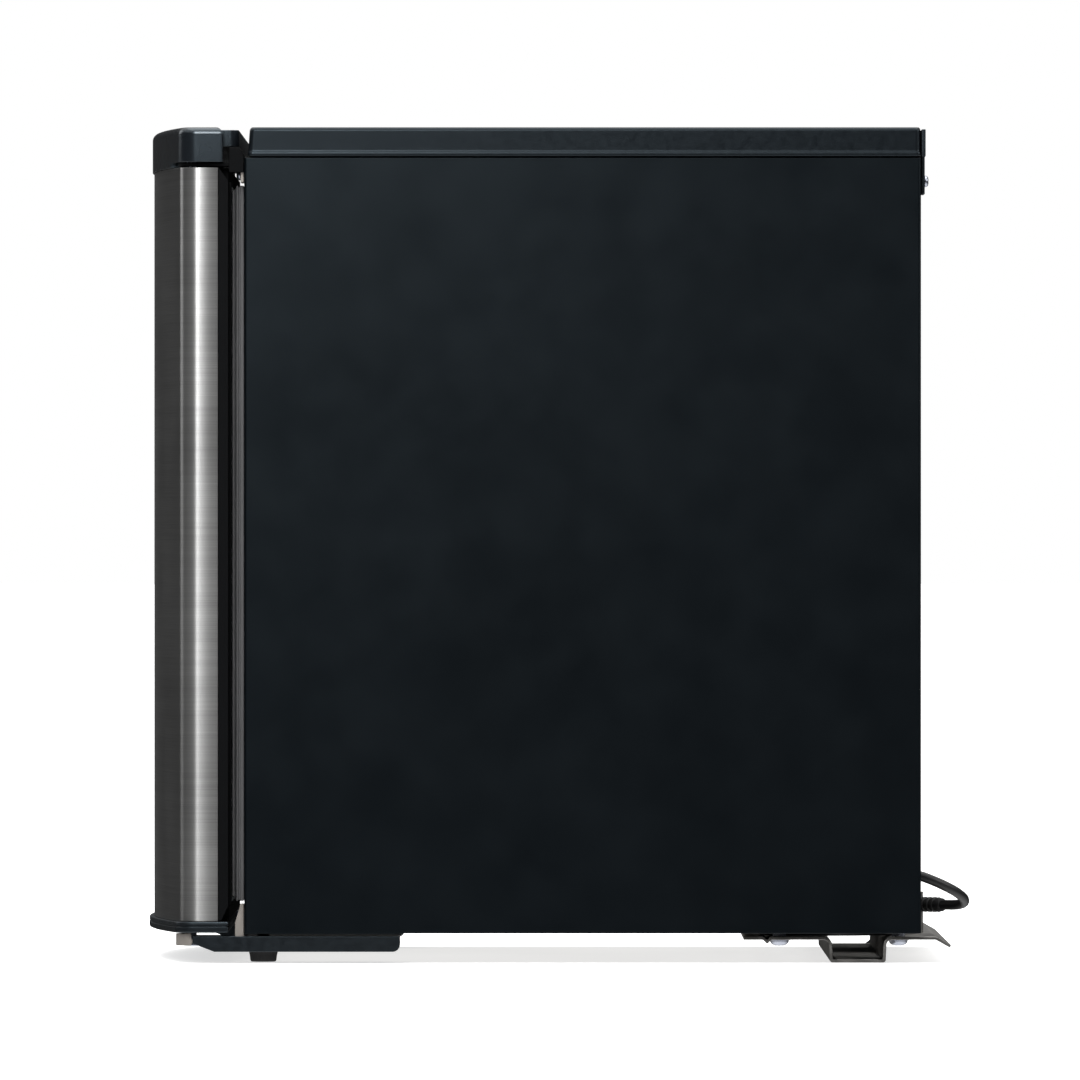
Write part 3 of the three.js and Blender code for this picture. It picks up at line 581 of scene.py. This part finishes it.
def make_front_frame():
    """The sheet round the opening; its hole follows the liner's lip."""
    outer = rounded(rectangle(-188.2, 188.2, UNDERSIDE, 481.4), 0.6, 12)
    inner = rounded(rectangle(-187.05, 187.05, 44.95, 454.05), 12.05, 12)
    front, back = CABINET_FRONT, CABINET_FRONT + SHEET
    rings = [[to_y(p, y) for p in outline]
             for outline, y in ((outer, front), (inner, front), (inner, back), (outer, back))]
    emit("front_frame_fine", loop(bmesh.new(), rings), "front_frame", PAINT, edge=0.2, limit=50)


def make_worktop():
    """A thick moulded top: rounded edges, and a bead round its lower edge."""
    bead, roll_start = 0.6, 497.6
    levels = [(1.2, 482.6), (0.5, 482.7), (0.12, 483.1), (0.0, 483.7), (0.0, 484.6), (0.25, 485.3),
              (0.55, 485.8), (bead, 486.6), (bead, roll_start)]
    levels += [(bead + inward, roll_start + up) for inward, up in edge_roll(2.4, 10, 10)]
    rings = []
    for inset, z in levels:
        lean = max(0.0, (z - 486) * 0.07)
        front, rear = -179 + inset * 0.7 + lean, 224.1 - inset * 0.6
        box = rectangle(-WIDEST + inset, WIDEST - inset, front, rear)
        rings.append([(x, y, z) for x, y in rounded(box, 3.2, 8)])
    emit("worktop_fine", loft(bmesh.new(), rings), "worktop", WORKTOP, edge=0, limit=60)


make_side_panels()
make_front_frame()
make_worktop()
from_node("worktop_rear_trim", PLASTIC, 0.4)
from_node("back_panel", PAINT, 0.2)
from_node("top_panel", ZINC, 0.2)
from_node("bottom_panel", ZINC, 0.2)
from_node("compressor_recess_panel", ZINC, 0.3)
# The foam's front face, which shows through the gaps round the opening, is painted black: painted shade.
paint_part(from_node("insulation_foam", FOAM, 0.3), MATTE_BLACK_AND_SHADE, lambda c: c.y < -0.1785)


def make_liner():
    """A vacuum-formed tub with wide corners and a step over the compressor."""
    outline = [(-180.8, 47), (87, 47), (87, 227), (182, 227), (182, 452), (-180.8, 452)]
    bm = bmesh.new()
    sides = [[bm.verts.new((x, y, z)) for y, z in outline] for x in (-185, 185)]
    bm.faces.new(sides[0])
    bm.faces.new(list(reversed(sides[1])))
    for i in range(len(outline) - 1):
        bm.faces.new((sides[0][i + 1], sides[0][i], sides[1][i], sides[1][i + 1]))
    bmesh.ops.bevel(bm, geom=[e for e in bm.edges if len(e.link_faces) == 2], offset=10, offset_type="OFFSET",
                    segments=7, profile=0.5, affect="EDGES", clamp_overlap=False)
    bmesh.ops.recalc_face_normals(bm, faces=bm.faces)
    floor = min(bm.faces, key=lambda f: f.calc_center_median().z)
    if floor.normal.z < 0:
        bmesh.ops.reverse_faces(bm, faces=bm.faces)
    bmesh.ops.solidify(bm, geom=bm.faces[:], thickness=-2.0)
    shelf_runner, tray_runner = ((-80, 181), (226, 232)), ((-54, 156), (299, 303.7))
    for xs in ((-185.5, -177), (177, 185.5)):
        for ys, zs in (shelf_runner, tray_runner):
            prism(bm, rounded(rectangle(*ys, *zs), 1.2, 4), *xs, to_x)
    for x in (-120, 120):
        for y in (-35, 130):
            block(bm, (x - 8, x + 8), (y - 8, y + 8), (445.3, 452.5))
    emit("inner_liner_fine", bm, "inner_liner", WHITE, edge=0.25, limit=60)


make_liner()


# ---------------------------------------------------------------- screws and pins
def make_screw(node, x, z, head, way, length):
    """A pan-head screw with a cross recess; its head stands at y = head."""
    place = along((x, head, z), (0, way, 0))
    dome = [(0, 0), (1.4, 0.02), (2.4, 0.25), (3.0, 0.7), (3.3, 1.2), (3.4, 1.7), (3.4, 2.1), (3.2, 2.2),
            (1.8, 2.2)]
    thread, pitch = [], 0.8
    for k in range(int(length / pitch)):
        thread += [(1.8, 2.3 + k * pitch), (1.35, 2.7 + k * pitch)]
    profile = [*dome, *thread, (1.2, 2.2 + length - 0.3), (0, 2.2 + length)]
    plus = [(2.1, -0.42), (2.1, 0.42), (0.42, 0.42)]
    for _ in range(3):
        plus += [(-b, a) for a, b in plus[-3:]]
    cross = loft(bmesh.new(), [[place @ Vector((a * k, b * k, depth)) for a, b in plus]
                               for k, depth in ((1, -1), (0.5, 1.3))])
    body = turned(bmesh.new(), profile, sides=40, place=place)
    emit(f"{node}_fine", carve(body, cross), node, BOLT, edge=0)


def make_hinge_pins():
    top = [(0, 465), (2.5, 465), (3, 465.5), (3, 480.6), (2.6, 481), (0, 481)]
    bottom = [(0, 9.9), (4.2, 9.9), (4.8, 10.1), (5, 10.5), (5, 11.4), (3, 11.5), (3, 23.4), (2.4, 24),
              (0, 24)]
    for node, profile in (("top_hinge_pin", top), ("bottom_hinge_pin", bottom)):
        emit(f"{node}_fine", turned(bmesh.new(), profile, PIVOT, 48), node, BOLT, edge=0)


for group, pair, z, head, way, length in (
        ("worktop_screw", (-200, 200), 468, 228.9, -1, 3.6),
        ("top_hinge_screw", (197, 210), 472, -185.9, 1, 3.8),
        ("bottom_hinge_screw", (197, 210), 28, -186.3, 1, 4.2)):
    for end, x in zip(("left", "right"), pair):
        make_screw(f"{group}_{end}", x, z, head, way, length)
make_hinge_pins()
# The front part of the top hinge bracket, which shows through the slot in the door's cap, is painted black:
# painted shade for the dark slot.
paint_part(from_node("top_hinge_bracket", PLATED, 0.35), MATTE_BLACK_AND_SHADE, lambda c: c.y < -0.1862)
# The hinge cover is black plastic, made darker and duller still as painted shade.
from_node("top_hinge_cover", MATTE_BLACK_AND_SHADE, 0.5)
from_node("bottom_hinge_bracket", PLATED, 0.4)


# ---------------------------------------------------------------- feet
def make_foot(side, node):
    """A screwed foot with a fluted rim to turn it by."""
    at, pitch, threads, flutes, depth = Vector((190 * side, -170)), 1.25, 19, 24, 0.028
    profile = [(0, 0), (6.8, 0), (7.4, 0.2), (7.8, 0.8), (8.2, 3.5), (8.7, 5.8), (8.8, 6.6), (8.6, 7.2),
               (8.1, 7.5), (4.0, 7.5)]
    for k in range(threads):
        profile += [(3.95, 8.0 + k * pitch), (3.35, 8.6 + k * pitch)]
    profile += [(3.4, 31.6), (3, 32), (0, 32)]
    bm = turned(bmesh.new(), profile, at, 72)
    for v in bm.verts:
        out = v.co.xy - at
        if 2.5 < v.co.z < 6.8 and out.length > 8:
            turn = math.atan2(out.y, out.x)
            v.co.xy = at + out * (1 - depth * (0.5 + 0.5 * math.cos(turn * flutes)))
    emit(f"{node}_fine", bm, node, RUBBER, edge=0)


make_foot(-1, "levelling_foot_left")
make_foot(1, "levelling_foot_right")
from_node("front_foot_bar_left", PLASTIC, 0.4, 3)
from_node("front_foot_bar_right", PLASTIC, 0.4, 3)


# ---------------------------------------------------------------- compressor space
def make_base_plate():
    """One galvanised sheet: a stiffening bead, the hat-shaped support, and a lip down at the rear."""
    path = [(118, 13.6), (129.5, 13.6), (132, 11), (134.5, 13.6), (169, 13.6), (169.6, 0), (203, 0),
            (203.6, 13.6), (233, 13.6), (241.4, 8.9)]
    thickness, highest = 1.8, 15.4
    line = rounded(path, [0, 1.2, 1.0, 1.2, 3.2, 1.6, 1.6, 3.2, 3, 0], 6, closed=False)
    lower, upper = [], []
    for i, p in enumerate(line):
        before, after = Vector(line[max(i - 1, 0)]), Vector(line[min(i + 1, len(line) - 1)])
        way = (after - before).normalized()
        lower.append(p)
        upper.append((p[0] - way.y * thickness, min(p[1] + way.x * thickness, highest)))
    emit("compressor_base_plate_fine", prism(bmesh.new(), lower + upper[::-1], -214, 214, to_x),
         "compressor_base_plate", ZINC, edge=0.2, limit=50)


PUMP = (-45, 175)
MOUNTS = [(-105, 146), (-105, 211.6), (15, 146), (15, 211.6)]


def make_compressor():
    """The hermetic shell with its welded seam, its feet plate, and a bolt and bush at each corner."""
    radius, shoulder, dome, stretch = 47, 118, 39, (1.38, 1)
    profile = [(0, 27), (24, 27.1), (33, 28.6), (40, 32), (44.6, 37), (46.6, 42), (radius, 46),
               (radius, 92.6), (47.4, 93.6), (48.4, 94), (48.4, 97),
               (47.4, 97.4), (radius, 98.4), (radius, shoulder)]
    for degrees in range(6, 90, 6):
        turn = math.radians(degrees)
        profile.append((radius * math.cos(turn) ** 0.8, shoulder + dome * math.sin(turn)))
    profile.append((0, shoulder + dome))
    bm = turned(bmesh.new(), profile, PUMP, 128, stretch)
    emit("compressor_shell", bm, "compressor", ENAMEL, edge=0)
    bm = prism(bmesh.new(), rounded(rectangle(-118, 28, 137, 221), 9, 8), 27.3, 29.8)
    emit("compressor_feet", bm, "compressor", ENAMEL, edge=0.5, limit=50)
    for i, at in enumerate(MOUNTS):
        node = f"compressor_mount_{i + 1}"
        bush = [(0, 15.7), (8.7, 15.7), (9, 16), (9, 17.6), (8.6, 18.4), (7.7, 19.4), (7.5, 20.2), (7.8, 21),
                (8.7, 22), (9, 22.8), (9, 26.7), (8.7, 27), (0, 27)]
        emit(f"{node}_bush", turned(bmesh.new(), bush, at, 48), node, RUBBER, edge=0)
        under = [(0, 9.9), (3.2, 9.9), (4.5, 10.4), (5.2, 11.3), (5.4, 12.2), (5.4, 13.1), (5.2, 13.3),
                 (2.6, 13.3), (2.6, 15.7), (0, 15.7)]
        bm = turned(bmesh.new(), under, at, 48)
        prism(bm, hexagon(at, 5.2), 30.1, 34)
        emit(f"{node}_bolt", bm, node, BOLT, edge=0.25)


def make_plate_bolts():
    """The four bolts that hold the base plate up to the cabinet; their domed heads stand below it."""
    dome = [(0, 9.9), (2.4, 10.0), (4.2, 10.6), (5.3, 11.6), (5.7, 12.7), (5.7, 13.2), (6.6, 13.3),
            (6.6, 13.55), (0, 13.55)]
    for i, at in enumerate([(-204, 139.5), (204, 139.5), (-204, 210.7), (204, 210.7)]):
        bm = turned(bmesh.new(), dome, at, 48)
        prism(bm, hexagon(at, 4.6), 15.5, 18.5)
        emit(f"plate_bolt_{i + 1}", bm, (), BOLT, edge=0.2, body="cabinet")


make_base_plate()
make_plate_bolts()
make_compressor()
from_node("compressor_terminal_cover", PLASTIC, 0.9, 3)
from_node("cord_clamp", ZINC, 0.35)


def make_tubes():
    """The two copper tubes at the compressor, and the lead to its terminal cover."""
    suction = [(-110.4, 175, 107), (-122, 175, 107.5), (-137, 170, 114), (-148, 161, 132), (-151, 153, 160),
               (-151, 152, 188.6)]
    discharge = [(20.4, 172, 56), (30, 171, 56.5), (44, 164, 64), (52, 152, 84), (54, 146, 116),
                 (57, 145, 150), (60, 145, 188.6)]
    lead = [(125.7, 214.2, 33.3), (119, 207.5, 33), (108, 199, 33.5), (96, 193, 38), (84, 187, 50),
            (73, 181, 66), (60, 177, 81), (50, 175, 85.6), (44.6, 175, 86)]
    wire("suction_tube_fine", spline(suction), 3.2, "suction_tube", COPPER)
    wire("discharge_tube_fine", spline(discharge), 2.5, "discharge_tube", COPPER)
    wire("internal_lead_fine", spline(lead), CORD_RADIUS, "internal_lead", CORD)


def make_drier():
    """The filter drier's capsule, with the thin tube that enters it from below."""
    x, y, top = 110, 142, 188.6
    capsule = [(0, 100), (2.3, 100), (2.6, 100.4), (2.6, 107), (3.4, 108.6), (6.6, 111.4), (8.2, 113.6),
               (8.5, 116), (8.5, 117.5), (8.25, 118), (8.5, 118.5), (8.5, 171), (8.2, 172.6), (6.6, 174.8),
               (3.4, 178), (2.6, 180), (2.6, top), (0, top)]
    emit("filter_drier_fine", turned(bmesh.new(), capsule, (x, y), 48), "filter_drier", COPPER, edge=0)
    inlet = [(x, y, 104), (x, y, 96), (x, 138, 88), (x, 131, 85), (x, 125.4, 84.6)]
    wire("filter_drier_inlet", spline(inlet), 2.4, "filter_drier", COPPER)


make_tubes()
make_drier()


# ---------------------------------------------------------------- door
def door_plan(half, front, rear, inset=0.0, corner=12.0, bow=1176.0, belly=0.0):
    """A door's outline from its right rear to its left rear: sides, rounded corners and a bowed front."""
    half, front, corner, bow = half - inset, front + inset, corner - inset, bow - inset
    bow_y = front + bow
    cx = half - corner
    cy = bow_y - math.sqrt((bow - corner) ** 2 - cx ** 2)
    meet = math.degrees(math.asin(cx / (bow - corner)))
    steps = 10
    side = []
    for k in range(steps):
        y = rear + (cy - rear) * k / steps
        side.append((half - (belly * ((y - cy) / (rear - cy)) ** 2 if belly else 0.0), y))
    corner_arc = arc((cx, cy), corner, 0, -90 + meet, 20)
    front_arc = arc((0, bow_y), bow, -90 + meet, -90 - meet, 72)[1:-1]
    right = side + corner_arc
    return right + front_arc + [(-x, y) for x, y in reversed(right)]


def make_door_skin():
    """The bowed steel sheet, open at the rear."""
    outer, inner = (door_plan(SIDE, STEEL_FRONT, -196.6, inset=inset, belly=1.2) for inset in (0.0, 0.8))
    levels = [24.8, 60, 120, 180, 250, 320, 380, 440, 475.9]
    bm = loft(bmesh.new(), [[to_z(p, z) for p in outer + inner[::-1]] for z in levels])
    emit("door_skin_fine", bm, "door_skin", STEEL, edge=0.2, limit=60)


def make_top_cap():
    """The gloss cap: a rolled edge round its top, a ledge at its rear, and the slot for the hinge leaf."""
    roll_start = 496
    levels = [(0.25, 476.2), (0.0, 476.5), (0.0, roll_start)]
    levels += [(inward, roll_start + up) for inward, up in edge_roll(4, 9, 9)]
    rings = [[to_z(p, z) for p in door_plan(WIDEST, -240.3, -194 - inset, inset)] for inset, z in levels]
    slot = block(bmesh.new(), (186, 230), (-229.5, -190), (466, 479.3))
    room = turned(bmesh.new(), [(0, 470), (4.5, 470), (4.5, 482), (0, 482)], PIVOT, 40)
    bm = carve(loft(bmesh.new(), rings), slot, room)
    ledge = rounded([(-206, -198), (214, -198), (214, -184.3), (-206, -184.3)], [0, 0, 5, 5], 8)
    prism(bm, ledge, 488.6, 498.5)
    emit("door_top_cap_fine", bm, "door_top_cap", GLOSS, edge=0.35, limit=50)


def make_bottom_cap():
    """The lower cap, with a groove round it where it meets the steel."""
    levels = [(0.9, 17.9), (0.3, 18.2), (0.0, 18.9), (0.0, 21.2), (0.9, 21.5), (0.9, 22.1), (0.1, 22.4),
              (0.1, 23.9), (0.5, 24.5)]
    rings = [[to_z(p, z) for p in door_plan(WIDEST, -242.3, -190.6 - inset, inset)] for inset, z in levels]
    bore = turned(bmesh.new(), [(0, 5), (3.3, 5), (3.3, 40), (0, 40)], PIVOT, 40)
    bm = carve(loft(bmesh.new(), rings), bore)
    emit("door_bottom_cap_fine", bm, "door_bottom_cap", PLASTIC, edge=0.15, limit=50)


def frame_ring(bm, profile, half, low, high):
    """Sweeps a closed (outward, y) profile round a rectangle with mitred corners."""
    corners = [(-1, low, -1), (1, low, -1), (1, high, 1), (-1, high, 1)]
    return loop(bm, [[(sx * (half + o), y, z + sz * o) for o, y in profile] for sx, z, sz in corners])


def make_gasket():
    """The magnetic seal: a rib held in the door, a folded bellows, and the flat magnet face."""
    half = [(-9.0, -188.4), (-9.2, -187.2), (-10.6, -186.3), (-11.7, -185.9), (-12, -185.2),
            (-11.2, -184.5), (-11.2, -184.1), (-12, -183.5), (-12, -181.8), (-11.6, -181.4)]
    other = [(-12 - o, y) for o, y in reversed(half)]
    profile = rounded(half + other, 0.25, 3)
    bm = frame_ring(bmesh.new(), profile, 203, 36.6, 465.4)
    emit("door_gasket_fine", bm, "door_gasket", GREY_RUBBER, edge=0, limit=80)


def rounded_bar(bm, xs, ys, zs, radius, way=to_z):
    flat = {to_z: (xs, ys, zs), to_x: (ys, zs, xs), to_y: (xs, zs, ys)}[way]
    return prism(bm, rounded(rectangle(*flat[0], *flat[1]), radius, 6), *flat[2], way)


def make_door_liner():
    """The formed inner face of the door: a flange, a dyke all round, and its shelf ledges."""
    bm = rounded_bar(bmesh.new(), (-207, 207), (-190.3, -188.8), (36, 465), 6, to_y)
    emit("door_liner_flange", bm, "door_liner", WHITE, edge=0.4, limit=50)
    bm = bmesh.new()
    levels = [(0, -189.2), (0.4, -185), (1.0, -176), (1.6, -174.2), (2.8, -172.8), (4.4, -172)]
    rings = [[to_y(p, y) for p in rounded(rectangle(-178 + i, 178 - i, 52 + i, 448 - i), 12 - i * 0.8, 8)]
             for i, y in levels]
    rings += [[to_y(p, y) for p in rounded(rectangle(-166 - i, 166 + i, 62 - i, 438 + i), 8 + i * 0.6, 8)]
              for i, y in reversed(levels)]
    loop(bm, rings)
    for xs in ((-167, -152), (152, 167)):
        block(bm, xs, (-189.2, -176), (238.7, 243.7))
    emit("door_liner_dyke", bm, "door_liner", WHITE, edge=0.6, limit=50)


def make_door_trim(side, node):
    """A side trim with the thin lip that covers the edge of the formed liner."""
    bm = node_mesh(node)
    lip = rounded(rectangle(207.4 * side, 209.2 * side, -190.9, -188.7), 0.3, 3)
    prism(bm, lip, 34.6, 467.4)
    # The trims are black plastic, made darker and duller still as painted shade.
    emit(f"{node}_fine", bm, node, MATTE_BLACK_AND_SHADE, edge=0.3)


make_door_skin()
make_top_cap()
make_bottom_cap()
make_gasket()
make_door_liner()
make_door_trim(-1, "door_trim_left")
make_door_trim(1, "door_trim_right")
# The door foam's faces that show at its rear, top and bottom are painted black: painted shade in the gaps.
paint_part(from_node("door_foam", FOAM, 0.3), MATTE_BLACK_AND_SHADE, lambda c: c.y > -0.19695 or not 0.037 < c.z < 0.4605)
from_node("door_hinge_bushing", PLASTIC, 0.2)


# ---------------------------------------------------------------- inside
def tub(bm, xs, ys, zs, corner, fillet, wall=2.0):
    """An open-topped moulded box with rounded corners and a rounded foot."""
    def ring(inset, z):
        box = rectangle(xs[0] + inset, xs[1] - inset, ys[0] + inset, ys[1] - inset)
        return [to_z(p, z) for p in rounded(box, max(corner - inset, 0.8), 8)]

    def foot(inset, z, radius):
        turns = [math.radians(degrees) for degrees in range(0, 91, 18)]
        return [ring(inset + radius * (1 - math.sin(t)), z + radius * (1 - math.cos(t))) for t in turns]

    low, high = zs
    outside = foot(0, low, fillet) + [ring(0, high - 0.5), ring(0.15, high - 0.1), ring(0.5, high)]
    inside = [ring(wall - 0.4, high), ring(wall - 0.1, high - 0.2), ring(wall, high - 0.6)]
    inside += foot(wall, low + wall, max(fillet - wall, 0.8))[::-1]
    return loft(bm, outside + inside)


def make_tubs():
    """The two door bins, which hang at one depth from the door, and the drip tray."""
    rear = -187.4
    for node, xs, ys, zs, corner, fillet in (
            ("door_upper_bin", (-164, 164), (rear, rear + 60), (244, 288), 7, 4),
            ("door_lower_bin", (-164, 164), (rear, rear + 80), (62.4, 150), 7, 4),
            ("drip_tray", (-182, 182), (-58, 148), (304, 341), 6, 3)):
        emit(f"{node}_fine", tub(bmesh.new(), xs, ys, zs, corner, fillet), node, CLEAR, edge=0, limit=60)


def make_freezer():
    """The cold box: one aluminium sheet folded round, with its refrigerant channels swelling out of it."""
    half, front, back, low, high, wall = 150, -60, 165, 346, 445, 1.5
    outline = rounded(rectangle(-half, half, low, high), 7, 8)
    hole = rounded(rectangle(wall - half, half - wall, low + wall, high - wall), 7 - wall, 8)
    outer = [[to_y(p, y) for p in outline] for y in (back, front)]
    inner = [[to_y(p, y) for p in hole] for y in (front, back - wall)]
    bm = loft(bmesh.new(), outer + inner)
    ear = rounded(rectangle(-70, -59, 433, high), [4, 0, 0, 4], 6)
    for xs in ((-half, wall - half), (half - wall, half)):
        prism(bm, ear, *xs, to_x)
    for z in range(356, 429, 12):
        for side in (-1, 1):
            channel = []
            for degrees in range(-90, 91, 30):
                turn = math.radians(degrees)
                channel.append((side * (half - wall - 0.9 * math.cos(turn)), z + 2.6 * math.sin(turn)))
            loft(bm, [[to_y(p, y) for p in channel] for y in (-50, 158)], closed=False)
    emit("evaporator_fine", bm, "evaporator_box", ALUMINIUM, edge=0.25, limit=50)


def make_flap():
    """A clear panel with a border, a finger lip along its foot, and the axle that it hangs from."""
    bm = bmesh.new()
    rounded_bar(bm, (-147.3, 147.3), (-66, -64), (349, 443), 4, to_y)
    for xs in ((-147.3, -141), (141, 147.3)):
        rounded_bar(bm, xs, (-67, -63.2), (349, 443), 1.6, to_y)
    for zs in ((349, 354), (430, 434)):
        rounded_bar(bm, (-146, 146), (-67, -63.2), zs, 1.6, to_y)
    rounded_bar(bm, (-40, 40), (-73, -66), (349, 352), 1.2, to_x)
    turned(bm, [(0, -149.9), (2, -149.9), (2, 149.9), (0, 149.9)], sides=24,
           place=along((0, -65, 441), (1, 0, 0)))
    emit("freezer_flap_fine", bm, "freezer_flap", CLEAR, edge=0.3, limit=50)


def make_thermostat():
    """The housing, and a fluted knob with a plain pointer."""
    bm = node_mesh("thermostat_housing")
    emit("thermostat_housing_fine", bm, "thermostat_housing", WHITE, edge=0.9, segments=4)
    x, z, front = 168.5, 396, -58
    place = along((x, front - 0.3, z), (0, -1, 0))
    profile = [(0, -8), (2.6, -8), (3, -7.6), (3, 0), (12.6, 0), (13, 0.4), (12.9, 3), (12.2, 11.6),
               (11.8, 12.8), (11, 13.5), (9.6, 13.7), (0, 13.7)]
    bm = turned(bmesh.new(), profile, sides=144, place=place)
    flutes, depth = 36, 0.03
    for v in bm.verts:
        out = Vector((v.co.x - x, v.co.z - z))
        if out.length > 11.9:
            out *= 1 - depth * (0.5 + 0.5 * math.cos(math.atan2(out.y, out.x) * flutes))
            v.co.x, v.co.z = x + out.x, z + out.y
    rounded_bar(bm, (x - 1.5, x + 1.5), (front - 16, front - 12), (z, z + 11.4), 0.7, to_y)
    emit("thermostat_knob_fine", bm, "thermostat_knob", WHITE, edge=0.2, limit=60)


def make_shelf():
    bm = rounded_bar(bmesh.new(), (-183, 183), (-92, 178), (232.3, 236.3), 3)
    emit("glass_shelf_fine", bm, "glass_shelf", GLASS, edge=0.8, segments=3, limit=50)


make_tubs()
make_freezer()
make_flap()
make_thermostat()
make_shelf()
from_node("shelf_front_trim", WHITE, 0.6, 3)


# ---------------------------------------------------------------- studio
def make_floor():
    """A wide pale floor that glows a little, so that the shadow on it stays light."""
    size = 90.0
    floor_mesh = bpy.data.meshes.new("floor")
    floor_mesh.from_pydata([(x, y, 0) for x, y in rectangle(-size, size, -size, size)], [], [(0, 1, 2, 3)])
    floor = bpy.data.objects.new("floor", floor_mesh)
    floor.location.z = -0.0004
    bpy.context.scene.collection.objects.link(floor)
    pale = bpy.data.materials.new("pale_floor")
    pale.use_nodes = True
    shader = pale.node_tree.nodes["Principled BSDF"]
    shader.inputs["Base Color"].default_value = (0.86, 0.86, 0.86, 1)
    shader.inputs["Roughness"].default_value = 0.9
    shader.inputs["Specular IOR Level"].default_value = 0.0
    shader.inputs["Emission Color"].default_value = (1, 1, 1, 1)
    shader.inputs["Emission Strength"].default_value = 0.6
    floor.visible_glossy = False
    floor_mesh.materials.append(pale)


def make_world():
    """White to the camera; to everything else, dark at the level of the eye and bright above and below."""
    world = bpy.data.worlds.new("studio")
    bpy.context.scene.world = world
    world.use_nodes = True
    n = Nodes(world.node_tree)
    way = n.add("ShaderNodeTexCoord").outputs["Generated"]
    height = n.math("ABSOLUTE", n.add("ShaderNodeSeparateXYZ", {"Vector": way}).outputs["Z"], 0.0)
    ramp = n.add("ShaderNodeMapRange", {"Value": height})
    ramp.interpolation_type = "SMOOTHSTEP"
    for i, number in zip((1, 2, 3, 4), (0.15, 0.95, 0.03, 1.5)):
        ramp.inputs[i].default_value = number
    seen = n.add("ShaderNodeLightPath").outputs["Is Camera Ray"]
    strength = n.add("ShaderNodeMix", data_type="FLOAT")
    n.tree.links.new(seen, strength.inputs["Factor"])
    n.tree.links.new(ramp.outputs[0], strength.inputs[2])
    strength.inputs[3].default_value = 1.0
    back = n.add("ShaderNodeBackground", {"Strength": strength.outputs[0]})
    back.inputs["Color"].default_value = (1, 1, 1, 1)
    n.tree.links.new(back.outputs[0], n.add("ShaderNodeOutputWorld").inputs[0])


def softbox(name, at, aim, size, power):
    data = bpy.data.lights.new(name, "AREA")
    data.shape = "RECTANGLE"
    data.size, data.size_y = size
    data.energy = power
    light = bpy.data.objects.new(name, data)
    light.location = at
    light.rotation_euler = (Vector(aim) - Vector(at)).to_track_quat("-Z", "Y").to_euler()
    light.visible_camera = False
    bpy.context.scene.collection.objects.link(light)


make_floor()
make_world()
softbox("overhead", (0, 0, 3.0), (0, 0, 0), (3.0, 3.0), 60)
softbox("side", (1.75, -0.42, 1.15), (0.2, -0.15, 0.35), (0.5, 0.9), 22)
softbox("front", (-1.5, -3.0, 1.5), (0, 0, 0.25), (1.6, 1.8), 15)
softbox("rear", (1.2, 3.2, 1.6), (0, 0, 0.25), (1.6, 1.6), 35)
bpy.context.scene.view_settings.view_transform = "Standard"
